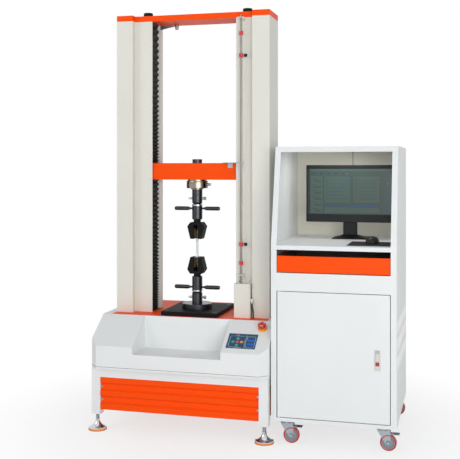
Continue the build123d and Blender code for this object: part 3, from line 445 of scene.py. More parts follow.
# Hot-rolled bar: bright where it was milled to its waist; its gripped ends are dark as painted shade from the
# jaws.
MILLED_BAR = MachinedMetal("milled_steel_bar", "#d2d8d7", "#bcc4c3", 0.36, Lay.ALONG_Z, 4.0)
GRIP_SHADE_STEEL = MachinedMetal("gripped_end_shade_steel", "#44443f", "#34342f", 0.55, Lay.EVEN, 6.0, 0.4)
# Chrome plate mirrors sharply, zinc plate is bluish and clouded, anodised aluminium is satin.
CHROME = MachinedMetal("chrome_plated_steel", "#d4d6d8", "#c2c5c8", 0.08, mark_depth_mm=0.01)
ZINC = MachinedMetal("zinc_plated_steel", "#b4bcc2", "#98a2aa", 0.32, Lay.EVEN, 12.0)
ANODISED = MachinedMetal("anodised_aluminium", "#c8cacc", "#b3b6b9", 0.38, Lay.ALONG_Z, 4.0)
# Matt mouldings: an even tone with a broad dull highlight.
BLACK_MOULDING = MouldedPolymer("black_moulded_abs", "#1b1e1f", "#141617", 0.42, specular=0.25)
GREY_MOULDING = MouldedPolymer("grey_moulded_nylon", "#8f9498", "#7f8488", 0.45)
PALE_MOULDING = MouldedPolymer("pale_grey_moulded_abs", "#d9d8d2", "#cdccc6", 0.4)
# Signal colours from a polished mould: a strong tone under a clear highlight.
RED_MOULDING = MouldedPolymer("red_glossy_abs", "#c81d1f", "#b01518", 0.2, 8.0, 0.03, coat=0.4)
YELLOW_MOULDING = MouldedPolymer("amber_glossy_abs", "#f79a12", "#ee8b08", 0.28, 8.0, 0.03)
# Pad print: a flat, even white.
WHITE_PRINT = MouldedPolymer("white_pad_print", "#dfe3e4", "#ced4d6", 0.5)
# Cast polyurethane is smooth and a little waxy, moulded rubber is dull.
RED_TYRE = MouldedPolymer("red_cast_polyurethane", "#c8333a", "#ab262d", 0.38)
ORANGE_RUBBER = MouldedPolymer("orange_moulded_rubber", "#f58a1e", "#e87c12", 0.5, ior=1.52)
BLACK_RUBBER = MouldedPolymer("black_moulded_rubber", "#1b1b1c", "#121213", 0.6, ior=1.52, specular=0.12)
# Coated cloth shows its folds by shadow more than by shine; jersey is a soft mottled grey.
BELLOWS_CLOTH = CoatedFabric("rubber_coated_polyester", "#121213", "#0a0a0b", 0.5)
PAD_CLOTH = CoatedFabric("printed_polyester_jersey", "#3a3438", "#27242a", 0.8)
# Printed polyester overlay of the key panel: a satin film over flat strong colours.
OVERLAY_BLUE = MouldedPolymer("navy_polyester_overlay", "#0f4a6c", "#0c4160", 0.36)
OVERLAY_LINE = MouldedPolymer("pale_overlay_print", "#a9c0c6", "#93adb5", 0.4)
KEY_GREEN = MouldedPolymer("green_overlay_key", "#1fbf93", "#17ad84", 0.34)
KEY_RED = MouldedPolymer("red_overlay_key", "#f0555f", "#dd424d", 0.34)
KEY_ORANGE = MouldedPolymer("orange_overlay_key", "#f3ab3a", "#e89a26", 0.34)
KEY_BLUE = MouldedPolymer("blue_overlay_key", "#1c6fe6", "#155fd0", 0.34)
# Display layers: grey-green and dim, as a display looks in studio light.
SCREEN_FIELD = LitFilm("display_field", "#34453f", "#2f403b", 0.2)
SCREEN_PANE = LitFilm("display_pane", "#3c504a", "#374a45", 0.2)
SCREEN_LINE = LitFilm("display_line", "#25322f", "#202c2a", 0.25)
SCREEN_DARK = LitFilm("display_desktop", "#222b2d", "#1c2426", 0.1)
SCREEN_BLUE = LitFilm("display_blue", "#1d4673", "#1a4069", 0.22)
SCREEN_RED = LitFilm("display_red", "#7d3a36", "#713330", 0.22)


def paint(finish: Finish, *nodes: str) -> None:
    """Gives CAD nodes a finish.

    Args:
        finish: The finish.
        *nodes: Names of the nodes.
    """
    for name in nodes:
        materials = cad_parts[name].data.materials
        materials.clear()
        materials.append(finish.material())
        LOG.info("%s: %s", name, finish.name)


def flat_runs(profile: Sequence[Pair], looped: bool) -> list[Pair]:
    """Adds a point close to each end of a profile's long runs, so that only their ends shade round.

    Args:
        profile: Radius and height of each point, in millimetres.
        looped: Whether the last point joins the first.

    Returns:
        The profile with the added points.
    """
    ends = [*profile[1:], profile[0]] if looped else profile[1:]
    line: list[Pair] = []
    for start, end in zip(profile, ends):
        line.append(start)
        run = Vector(end) - Vector(start)
        if run.length > LONG_RUN:
            step = run.normalized() * RUN_END
            line += [tuple(Vector(start) + step), tuple(Vector(end) - step)]
    return line if looped else [*line, profile[-1]]


class Shape:
    """A mesh in the making, in millimetres from the load axis and the floor, with a finish for each form."""

    def __init__(self) -> None:
        """Starts with no form."""
        self.points: list[Vector] = []
        self.faces: list[list[int]] = []
        self.slots: list[int] = []
        self.finishes: list[Finish] = []

    def add(self, points: Sequence[Vector], faces: Sequence[Sequence[int]], finish: Finish) -> None:
        """Adds a form.

        Args:
            points: Its corners.
            faces: Its faces, as numbers of corners.
            finish: Its finish.
        """
        if finish not in self.finishes:
            self.finishes.append(finish)
        start = len(self.points)
        self.points.extend(points)
        self.faces.extend([start + i for i in face] for face in faces)
        self.slots.extend([self.finishes.index(finish)] * len(faces))

    def box(
        self, low: Triple, high: Triple, finish: Finish, edge: float = 1.0, place: Matrix = UPRIGHT
    ) -> None:
        """Adds a block with broken edges.

        Args:
            low: Its lowest corner.
            high: Its highest corner.
            finish: Its finish.
            edge: Width of the chamfer on every edge.
            place: Where the block goes.
        """
        limits = (low, high)
        number: dict[tuple[int, int, int, int], int] = {}
        points = []
        for key in [(i, j, k, axis) for i in (0, 1) for j in (0, 1) for k in (0, 1) for axis in range(3)]:
            spot = Vector([limits[key[a]][a] for a in range(3)])
            for a in range(3):
                if a != key[3]:
                    spot[a] += edge if key[a] == 0 else -edge
            number[key] = len(points)
            points.append(place @ spot)
        faces = []
        for axis in range(3):
            first, second = [a for a in range(3) if a != axis]
            around = [(0, 0), (1, 0), (1, 1), (0, 1)]
            for end in (0, 1):
                ring = []
                for u, v in around:
                    key = [0, 0, 0, axis]
                    key[axis], key[first], key[second] = end, u, v
                    ring.append(number[tuple(key)])
                faces.append(ring)
            for u, v in around:
                key = [0, 0, 0, 0]
                key[first], key[second] = u, v
                ring = []
                for end, flat in ((0, first), (1, first), (1, second), (0, second)):
                    key[axis], key[3] = end, flat
                    ring.append(number[tuple(key)])
                faces.append(ring)
        for corner in [(i, j, k) for i in (0, 1) for j in (0, 1) for k in (0, 1)]:
            faces.append([number[(*corner, axis)] for axis in range(3)])
        self.add(points, faces, finish)

    def loft(
        self, rings: Sequence[Sequence[Vector]], finish: Finish, place: Matrix = UPRIGHT, looped: bool = False
    ) -> None:
        """Joins rings of as many points each into a closed skin.

        Args:
            rings: The rings, in order.
            finish: The skin's finish.
            place: Where the skin goes.
            looped: Whether the last ring joins the first, in place of a cap at each end.
        """
        count = len(rings[0])
        points = [place @ Vector(p) for ring in rings for p in ring]
        faces = []
        for i in range(len(rings) if looped else len(rings) - 1):
            here, there = i * count, (i + 1) % len(rings) * count
            for j in range(count):
                k = (j + 1) % count
                faces.append([here + j, here + k, there + k, there + j])
        if not looped:
            faces.append(list(range(count))[::-1])
            faces.append(list(range(len(points) - count, len(points))))
        self.add(points, faces, finish)

    def lathe(
        self,
        profile: Sequence[Pair],
        finish: Finish,
        place: Matrix = UPRIGHT,
        looped: bool = False,
        steps: int = 48,
    ) -> None:
        """Turns a profile round the form's own Z.

        Args:
            profile: Radius and height of each point; an open one ends just off the axis, under a flat cap.
            finish: The finish.
            place: Where the form goes.
            looped: Whether the profile closes on itself, as in a ring with a bore.
            steps: Facets round the axis.
        """
        turns = [math.tau * i / steps for i in range(steps)]
        line = flat_runs(profile, looped)
        rings = [[Vector((r * math.cos(t), r * math.sin(t), h)) for t in turns] for r, h in line]
        self.loft(rings, finish, place, looped)

    def prism(self, outline: Sequence[Pair], low: float, high: float, finish: Finish, place: Matrix) -> None:
        """Draws a flat outline out along the form's own Z, from low to high."""
        self.loft([[Vector((*p, h)) for p in outline] for h in (low, high)], finish, place)

    def strip(
        self, line: Sequence[Pair], width: float, rise: float, finish: Finish, place: Matrix = UPRIGHT
    ) -> None:
        """Lays a narrow raised strip along a line in the form's own XY plane.

        Args:
            line: The line's points.
            width: Width of the strip.
            rise: Its height above the plane.
            finish: Its finish.
            place: Where the plane goes.
        """
        spots = [Vector(p) for p in line]
        rings = []
        for i, spot in enumerate(spots):
            along = (spots[min(i + 1, len(spots) - 1)] - spots[max(i - 1, 0)]).normalized()
            side = Vector((-along.y, along.x)) * (width / 2)
            left, right = spot + side, spot - side
            corners = ((left, 0.0), (right, 0.0), (right, rise), (left, rise))
            rings.append([Vector((*corner, h)) for corner, h in corners])
        self.loft(rings, finish, place)

    def build(self, name: str, body: str | None, *replaced: str) -> bpy.types.Object:
        """Makes the piece.

        Args:
            name: Name of the piece.
            body: The body it rides on, or None where it rides on none.
            *replaced: CAD nodes that it stands for.

        Returns:
            The piece.
        """
        mesh = bpy.data.meshes.new(name)
        mesh.from_pydata([LOAD_AXIS + p * MILLIMETRE for p in self.points], [], self.faces)
        for finish in self.finishes:
            mesh.materials.append(finish.material())
        mesh.polygons.foreach_set("material_index", self.slots)
        skin = bmesh.new()
        skin.from_mesh(mesh)
        bmesh.ops.recalc_face_normals(skin, faces=skin.faces)
        skin.to_mesh(mesh)
        skin.free()
        mesh.shade_smooth()
        mesh.set_sharp_from_angle(angle=SHARP_EDGE)
        piece = bpy.data.objects.new(name, mesh)
        bpy.context.scene.collection.objects.link(piece)
        if body is not None:
            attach(piece, body)
        if replaced:
            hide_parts(*replaced)
        LOG.info("%s: %d faces on %s", name, len(mesh.polygons), body)
        return piece


def along_x(x: float, y: float, z: float, side: int = 1) -> Matrix:
    """Returns the placement of a form turned along X, to the right or, with side -1, to the left."""
    return facing((x, y, z), (0, 1, 0), (side, 0, 0))


def along_y(x: float, y: float, z: float) -> Matrix:
    """Returns the placement of a turned form that points to the back."""
    return facing((x, y, z), (1, 0, 0), (0, 1, 0))


def on_slope(x: float, y: float) -> Matrix:
    """Returns the placement of a form that stands on the cover's sloped front."""
    z = SLOPE_FOOT_Z + math.tan(SLOPE) * (y - SLOPE_FOOT_Y)
    return facing((x, y, z), (1, 0, 0), (0, -math.sin(SLOPE), math.cos(SLOPE)))


@dataclass
class Base:
    """Frame, panels, feet, cover, table and platen."""

    leg_x: float = 418.0
    leg_y: float = 298.0
    pad_top: float = 7.0
    disc_rim: float = 7.0
    disc_radius: float = 43.0
    disc_top: float = 42.0
    disc_edge: float = 0.6
    flare_bend: Pair = (21.0, 18.0)
    flare_steps: int = 10
    collar_radius: float = 11.0
    collar_edge: float = 0.8
    stud_low: float = 54.0
    stud_high: float = 84.0
    stud_radius: float = 9.0
    thread_pitch: float = 3.0
    thread_depth: float = 0.8
    thread_land: float = 0.4
    seam_z: Pair = (317.0, 318.4)
    # Front corner and side end of the seam's right half; the left half mirrors it.
    seam_outside: tuple[Pair, ...] = ((405.1, -350.25), (442.25, -312.0))
    seam_inside: tuple[Pair, ...] = ((404.6, -349.2), (441.0, -311.5))
    hole_x: Pair = (-125.0, 125.0)
    hole_y: Pair = (-107.0, 143.0)
    platen_top: float = TABLE_TOP + 20.0

    def build(self) -> None:
        """Paints the base and builds its feet and trim."""
        paint(WHITE_COAT, "base_frame", "base_cover")
        paint(ORANGE_COAT, "front_panel", "base_panels", "table_plate")
        paint(ZINC, "panel_screws")
        paint(ORANGE_RUBBER, "foot_pads")
        paint(BLACK_PHOSPHATE, "platen")
        self.feet()
        self.cover_seam()
        self.hole_rims()

    def feet(self) -> None:
        """Builds the chrome feet: a flared disc, a spanner collar and a threaded stud."""
        shape = Shape()
        rim, bend = Vector((self.disc_radius, self.pad_top + self.disc_rim)), Vector(self.flare_bend)
        neck = Vector((self.collar_radius, self.disc_top))
        bends = [i / self.flare_steps for i in range(self.flare_steps + 1)]
        flare = [tuple((1 - t) ** 2 * rim + 2 * t * (1 - t) * bend + t * t * neck) for t in bends]
        r, low, e = self.disc_radius, self.pad_top, self.disc_edge
        disc = [(0.5, low), (r - e, low), (r, low + e), *flare, (0.5, self.disc_top)]
        r, low, high, e = self.collar_radius, self.disc_top, self.stud_low, self.collar_edge
        collar = [(0.5, low), (r - e, low), (r, low + e), (r, high - e), (r - e, high), (0.5, high)]
        stud = [(0.5, self.stud_low)]
        root, pitch = self.stud_radius - self.thread_depth, self.thread_pitch
        for i in range(int((self.stud_high - self.stud_low) / pitch)):
            z = self.stud_low + i * pitch
            crest = (self.stud_radius, z + pitch / 2)
            stud += [(root, z + self.thread_land), crest, (root, z + pitch - self.thread_land)]
        stud.append((0.5, self.stud_high))
        for x in (-self.leg_x, self.leg_x):
            for y in (-self.leg_y, self.leg_y):
                place = Matrix.Translation((x, y, 0))
                shape.lathe(disc, CHROME, place, steps=64)
                shape.lathe(collar, CHROME, place, steps=6)
                shape.lathe(stud, ZINC, place, steps=32)
        shape.build("levelling_feet_turned", "frame", "levelling_feet")

    def cover_seam(self) -> None:
        """Lays a dark strip in the seam between the cover and its lower lip, round the chamfered front:
        painted shade of the gap.
        """
        shape = Shape()
        halves = (self.seam_outside, self.seam_inside)
        outside, inside = ([*((-x, y) for x, y in half[::-1]), *half] for half in halves)
        # Painted shade: a dark strip stands for the shadow in the gap under the cover.
        shape.prism(outside + inside[::-1], *self.seam_z, BLACK_RUBBER, UPRIGHT)
        shape.build("cover_seam_shade_strip", "frame")

    def hole_rims(self) -> None:
        """Adds the bright countersunk rims of the platen's holes."""
        shape = Shape()
        rim = [(5.0, -4.0), (5.0, -1.0), (6.4, 0.25), (7.2, 0.25), (7.2, 0.0), (5.4, -4.0)]
        for x in self.hole_x:
            for y in self.hole_y:
                place = Matrix.Translation((x, y, self.platen_top))
                shape.lathe(rim, GROUND_STEEL, place, looped=True, steps=32)
        shape.build("platen_hole_rims", "frame")


@dataclass
class Columns:
    """Column covers, posts, screws, bearings, top beam and the pleated curtains in the slots."""

    curtain_x: float = 224.5
    fold_depth: float = 13.0
    fold_inset: float = 0.06
    cloth: float = 1.4
    cloth_sag: float = 0.5
    half_width: float = 54.0
    upper_folds: int = 29
    lower_folds: int = 37
    hang: float = 0.58
    table_z: float = TABLE_TOP
    beam_z: float = 2025.0
    crosshead_low: float = CROSSHEAD_LOW
    crosshead_high: float = 1303.0
    gap: float = 0.5
    edge_y: Pair = (60.3, 62.3)
    edge_width: float = 19.0
    edge_overlap: float = 1.0
    edge_gap: float = 2.0
    arm_x: Pair = (-222.0, -138.0)
    arm_y: float = 62.0
    arm_half: float = 1.0
    post_x: float = -130.0

    def build(self) -> None:
        """Paints the columns and hangs the curtains."""
        paint(CREAM_COAT, "left_column_cover", "right_column_cover")
        paint(ORANGE_COAT, "top_beam")
        paint(BLACK_RUBBER, "beam_caps")
        paint(GROUND_STEEL, "guide_posts", "screw_bearings")
        paint(SCREW_STEEL, "left_ball_screw", "right_ball_screw")
        self.slot_edges()
        self.beam_arm()
        upper, lower = (self.crosshead_high, self.beam_z), (self.table_z, self.crosshead_low)
        self.curtain("upper_bellows", self.upper_folds, *upper, "crosshead", "frame")
        self.curtain("lower_bellows", self.lower_folds, *lower, "frame", "crosshead")

    def slot_edges(self) -> None:
        """Adds the folded edge at the back of each column's slot, which shows between the pleats."""
        shape = Shape()
        (y0, y1), wide = self.edge_y, self.edge_width
        low, high = self.table_z + self.edge_gap, self.beam_z - self.edge_gap
        inner = self.curtain_x - self.edge_overlap
        for x in (-inner - wide, inner):
            shape.box((x, y0, low), (x + wide, y1, high), CREAM_COAT, 0.4)
        shape.build("column_slot_edges", "frame")

    def beam_arm(self) -> None:
        """Hangs the small sheet arm and its post under the beam."""
        shape = Shape()
        top = self.beam_z - 0.3
        (x0, x1), t = self.arm_x, self.arm_half
        outline = [(x0, top - 25.0), (x1, top - 9.0), (x1, top - 2.0), (x0, top - 0.5)]
        shape.prism(outline, -t, t, ZINC, facing((0, self.arm_y, 0), (1, 0, 0), (0, -1, 0)))
        post = [(0.5, top), (10, top), (10, top - 20), (8.5, top - 21), (8.5, top - 26), (7.5, top - 27)]
        post.append((0.5, top - 27))
        shape.lathe(post, GROUND_STEEL, Matrix.Translation((self.post_x, self.arm_y, 0)))
        shape.build("beam_arm_and_post", "frame")

    def curtain(self, node: str, folds: int, low: float, high: float, low_body: str, high_body: str) -> None:
        """Hangs one pair of pleated curtains between the heights of two bodies.

        Args:
            node: The CAD node that the pair stands for.
            folds: Number of pleats; they close up towards the bottom.
            low: Height of its lower end.
            high: Height of its upper end.
            low_body: The body that holds the lower end; not used.
            high_body: The body that holds the upper end; not used.
        """
        shape = Shape()
        z0, z1 = low + self.gap, high - self.gap
        for side in (-1, 1):
            face = []
            for i in range(folds * 4 + 1):
                t = i / (folds * 4)
                z = z0 + (z1 - z0) * (self.hang * t + (1 - self.hang) * t * t)
                # Each fold has four points: its valley, half way out, its crest and half way back.
                reach = self.fold_inset + (1 - 2 * self.fold_inset) * (0.0, 0.5, 1.0, 0.5)[i % 4]
                face.append((side * (self.curtain_x + self.fold_depth * reach), z))
            rings = []
            for x, z in face:
                w, back, middle = self.half_width, x + side * self.cloth, x - side * self.cloth_sag
                ring = [(x, -w), (middle, 0), (x, w), (back, w), (back, -w)]
                rings.append([Vector((*spot, z)) for spot in ring])
            shape.loft(rings, BELLOWS_CLOTH)
        piece = shape.build(f"{node}_pleats", None, node)
        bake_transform(piece)


@dataclass
class Drive:
    """Motor, pulleys and belt inside the base."""

    def build(self) -> None:
        """Paints the drive."""
        paint(MOTOR_ENAMEL, "servo_motor")
        paint(ANODISED, "motor_pulley")
        paint(BLACK_RUBBER, "drive_belt")


@dataclass
class Crosshead:
    """The moving beam with its fittings, trip finger and load cell."""

    cell_radius: float = 55.0
    cell_low: float = 1169.0
    cell_high: float = CROSSHEAD_LOW

    def build(self) -> None:
        """Paints the crosshead and turns the grooves of its load cell."""
        paint(ORANGE_COAT, "crosshead")
        paint(BLACK_OXIDE, "crosshead_fittings")
        paint(ZINC, "trip_finger")
        self.load_cell()

    def load_cell(self) -> None:
        """Turns the polished load cell, with its neck, its groove and the cable plug on its right."""
        shape = Shape()
        r, low, high = self.cell_radius, self.cell_low, self.cell_high
        neck = [(0.5, low), (31, low), (32, low + 1), (32, low + 6)]
        lower_edge = [(r - 3, low + 6), (r - 0.9, low + 6.9), (r, low + 9)]
        groove = [(r, high - 16), (r - 0.8, high - 15.2), (r - 0.8, high - 13.8), (r, high - 13)]
        upper_edge = [(r, high - 9), (r - 0.9, high - 6.9), (r - 3, high - 6)]
        seat = [(r - 6, high - 6), (r - 6, high), (0.5, high)]
        shape.lathe(neck + lower_edge + groove + upper_edge + seat, LOAD_CELL_STEEL, steps=96)
        plug = [(0.5, r - 4), (7, r - 4), (7, r + 6), (6, r + 7), (6, r + 15), (5, r + 17.6), (3, r + 18)]
        plug.append((0.5, r + 18))
        shape.lathe(plug, ZINC, along_x(0, 0, (low + high) / 2), steps=32)
        shape.build("load_cell_turned", "crosshead", "load_cell")


@dataclass
class LoadTrain:
    """One grip with its jaws, turning sleeve, lock ring and cross pin; heights are counted from its mouth."""

    place: str
    mouth_z: float
    up: int
    body: str
    sleeve_low: float = 97.0
    sleeve_high: float = 166.0
    radius: float = 26.5
    bore: float = 18.2
    bar_h: float = 154.0
    pin_h: float = 205.0

    def height(self, h: float) -> float:
        """Returns the height over the floor of a height over the mouth."""
        return self.mouth_z + self.up * h

    def build(self) -> None:
        """Paints the grip and builds its turned pieces."""
        paint(BLACK_PHOSPHATE, f"{self.place}_grip_body")
        paint(BLACK_OXIDE, f"{self.place}_adapter")
        paint(JAW_BRONZE, f"{self.place}_jaw_left", f"{self.place}_jaw_right")
        self.sleeve()
        self.lock_ring()
        self.pin()

    def turned(self, shape: Shape, profile: Sequence[Pair], finish: Finish, looped: bool = True) -> None:
        """Turns a profile whose heights are counted from the mouth."""
        shape.lathe([(r, self.height(h)) for r, h in profile], finish, looped=looped)

    def sleeve(self) -> None:
        """Builds the turning sleeve with its two bars."""
        shape = Shape()
        low, high, r = self.sleeve_low, self.sleeve_high, self.radius
        profile = [(self.bore, low), (r - 4, low), (r - 1, low + 3), (r, low + 6), (r, high - 2)]
        profile += [(r - 2, high), (self.bore, high)]
        self.turned(shape, profile, BLACK_OXIDE)
        neck = [(0.5, 22), (5, 22), (5, 34), (5.6, 37), (8.6, 44), (9.8, 49), (10.2, 56)]
        groove = [(10.2, 63), (9.9, 63.6), (9.9, 64.6), (10.2, 65.2)]
        grip = [(10.4, 90), (10.2, 112), (9.2, 117), (7, 119.4), (0.5, 120)]
        for side in (-1, 1):
            place = along_x(0, 0, self.height(self.bar_h), side)
            shape.lathe(neck + groove + grip, BLACK_OXIDE, place, steps=32)
        shape.build(f"{self.place}_sleeve_turned", f"{self.place}_sleeve", f"{self.place}_sleeve")

    def lock_ring(self) -> None:
        """Builds the bright lock ring round the stem and the bevelled nut next to it."""
        shape = Shape()
        r = self.radius + 0.4
        bore = self.bore + 0.2
        ring = [(bore, 166.15), (r - 1, 166.15), (r, 167.1), (r, 174.6), (r - 1, 175.5), (bore, 175.5)]
        self.turned(shape, ring, GROUND_STEEL)
        nut = [(bore, 176.6), (20, 176.6), (25.4, 181.6), (26, 182.6), (26, 184.4), (25.4, 185), (bore, 185)]
        self.turned(shape, nut, BLACK_OXIDE)
        shape.build(f"{self.place}_lock_ring", self.body)

    def pin(self) -> None:
        """Builds the cross pin with its tapered tail and grooved knob."""
        shape = Shape()
        shank = [(0.4, -47), (3.2, -46.6), (4.6, -40), (6, -30), (6, 36)]
        knob = [(8.2, 37), (9, 38), (9, 40), (7.6, 40.8), (7.6, 42.2), (9, 43), (9, 45.6), (7.8, 47)]
        knob.append((0.4, 47))
        shape.lathe(shank + knob, GROUND_STEEL, along_x(0, 0, self.height(self.pin_h)), steps=32)
        shape.build(f"{self.place}_pin_turned", f"{self.place}_pin", f"{self.place}_pin")


@dataclass
class TestPiece:
    """The flat waisted bar held in both grips."""

    gripped: float = 40.0
    half_thickness: float = 4.45
    half_width: float = 10.0
    half_waist: float = 6.25
    waist_share: float = 0.16
    shoulder_share: float = 0.1
    steps: int = 36
    shaded_end_rings: int = 8

    def build(self) -> None:
        """Builds the bar between the two grips, bright between them and dark inside them as painted shade."""
        shape = Shape()
        rings = []
        low, high = LOWER_MOUTH - self.gripped, UPPER_MOUTH + self.gripped
        for i in range(self.steps + 1):
            t = i / self.steps
            z = low + (high - low) * t
            ease = min(max((abs(t - 0.5) - self.waist_share) / self.shoulder_share, 0.0), 1.0)
            w = self.half_waist + (self.half_width - self.half_waist) * ease * ease * (3 - 2 * ease)
            x = self.half_thickness
            rings.append([Vector((-x, -w, z)), Vector((x, -w, z)), Vector((x, w, z)), Vector((-x, w, z))])
        n = self.shaded_end_rings
        # Painted shade: the ends inside the jaws are dark for the shadow there.
        shape.loft(rings[: n + 1], GRIP_SHADE_STEEL)
        shape.loft(rings[n:-n], MILLED_BAR)
        shape.loft(rings[-n - 1 :], GRIP_SHADE_STEEL)
        piece = shape.build("test_piece_bar", None, "test_specimen")
        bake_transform(piece)


@dataclass
class LimitStop:
    """Limit rod, collars, brackets, switch box and its cable."""

    rod_x: float = 253.0
    rod_y: float = -85.0
    collar_bore: float = 5.1
    collar_radius: float = 10.0
    collar_half: float = 10.0
    collar_edge: float = 0.8
    knob_radius: float = 8.0
    knob_rib: float = 0.7
    knob_steps: int = 48
    end_collars: Pair = (809.0, 1944.0)
    thumb_collars: tuple[tuple[str, float], ...] = (("upper_collar", 1834.0), ("lower_collar", 902.0))
    plate_z: Pair = (733.0, 2002.0)
    box_x: Pair = (225.0, 306.0)
    box_top: float = 711.0
    flange_y: Pair = (-66.2, -63.2)
    screw_y: float = -66.0
    screw_inset: float = 13.0
    bracket_screw_x: float = 12.0
    cable_x: float = 314.0
    cable_y: float = -111.0
    cable_z: float = 616.0
    cable_foot_z: float = TABLE_TOP
    cable_radius: float = 3.0

    def build(self) -> None:
        """Paints the limit stop and builds its collars, screws and cable."""
        paint(DRAWN_STEEL, "limit_rod")
        paint(CREAM_COAT, "limit_switch_box", "rod_brackets")
        ends = Shape()
        for z in self.end_collars:
            self.ring(ends, z)
        ends.build("end_collar_rings", "limit_rod", "end_collars")
        for name, z in self.thumb_collars:
            shape = Shape()
            self.ring(shape, z)
            self.thumb_screw(shape, z)
            shape.build(f"{name}_ring", name, name)
        self.box_trim()
        self.cable()

    def ring(self, shape: Shape, z: float) -> None:
        """Turns one collar round the rod.

        Args:
            shape: The shape that it joins.
            z: Height of its middle.
        """
        bore, r, h, e = self.collar_bore, self.collar_radius, self.collar_half, self.collar_edge
        lower = [(bore, z - h), (r - e, z - h), (r, z - h + e)]
        upper = [(r, z + h - e), (r - e, z + h), (bore, z + h)]
        place = Matrix.Translation((self.rod_x, self.rod_y, 0))
        shape.lathe(lower + upper, RED_COAT, place, looped=True)

    def thumb_screw(self, shape: Shape, z: float) -> None:
        """Turns the thumb screw of one collar, with a ribbed knob.

        Args:
            shape: The shape that it joins.
            z: Height of its axis.
        """
        neck = [(0.3, 9), (3.5, 9), (3.5, 16.5), (0.3, 16.5)]
        place = along_x(self.rod_x, self.rod_y, z)
        shape.lathe(neck, ZINC, place, steps=24)
        count = self.knob_steps
        turns = [math.tau * i / count for i in range(count)]
        rings = []
        for shrink, h in ((1.6, 15.6), (0.4, 16.6), (0.0, 20.0), (0.0, 27.6), (0.8, 29.4), (4.0, 30.0)):
            crest = self.knob_radius - shrink
            radii = [crest - (self.knob_rib if i % 4 < 2 else 0.0) for i in range(count)]
            rings.append([Vector((r * math.cos(t), r * math.sin(t), h)) for r, t in zip(radii, turns)])
        shape.loft(rings, BLACK_MOULDING, place)

    def box_trim(self) -> None:
        """Adds the box's back flange, its pan-head screws, those of the rod brackets and the gland's nut."""
        shape = Shape()
        (x0, x1), (y0, y1), top = self.box_x, self.flange_y, self.box_top
        shape.box((x0, y0, top - 4), (x1, y1, top + 13), CREAM_COAT, 0.6)
        inset, reach = self.screw_inset, self.bracket_screw_x
        spots = [(x, top + 7.5) for x in (x0 + inset, x1 - inset)]
        spots += [(self.rod_x + dx, z + 8) for z in self.plate_z for dx in (-reach, reach)]
        head = [(0.3, -0.5), (4.5, -0.5), (4.5, 0.8), (3.8, 2.2), (2.2, 3), (0.3, 3)]
        for x, z in spots:
            shape.lathe(head, ZINC, facing((x, self.screw_y, z), (1, 0, 0), (0, -1, 0)), steps=24)
        z = self.cable_z
        nut = [(3.2, z), (6.4, z), (7, z + 0.6), (7, z + 5.4), (6.4, z + 6), (3.2, z + 6)]
        shape.lathe(nut, ZINC, Matrix.Translation((self.cable_x, self.cable_y, 0)), looped=True, steps=6)
        shape.build("switch_box_trim", "frame")

    def cable(self) -> None:
        """Lays the switch cable from its gland down to the table."""
        x, y, z = self.cable_x, self.cable_y, self.cable_z
        route = [(x, y, z), (x, y, z - 14), (x + 5, y - 1, z - 32), (x + 7, y - 2, z - 52)]
        route.append((x + 7, y - 2, self.cable_foot_z))
        curve = bpy.data.curves.new("switch_cable_line", "CURVE")
        curve.dimensions = "3D"
        curve.bevel_depth = self.cable_radius * MILLIMETRE
        curve.bevel_resolution = 6
        curve.use_fill_caps = True
        line = curve.splines.new("NURBS")
        line.points.add(len(route) - 1)
        for point, spot in zip(line.points, route):
            point.co = (*at(*spot), 1.0)
        line.order_u = 3
        line.use_endpoint_u = True
        line.resolution_u = 12
        curve.materials.append(BLACK_RUBBER.material())
        piece = bpy.data.objects.new("switch_cable_line", curve)
        bpy.context.scene.collection.objects.link(piece)
        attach(piece, "frame")
        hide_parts("switch_cable")
        LOG.info("switch_cable_line on frame")


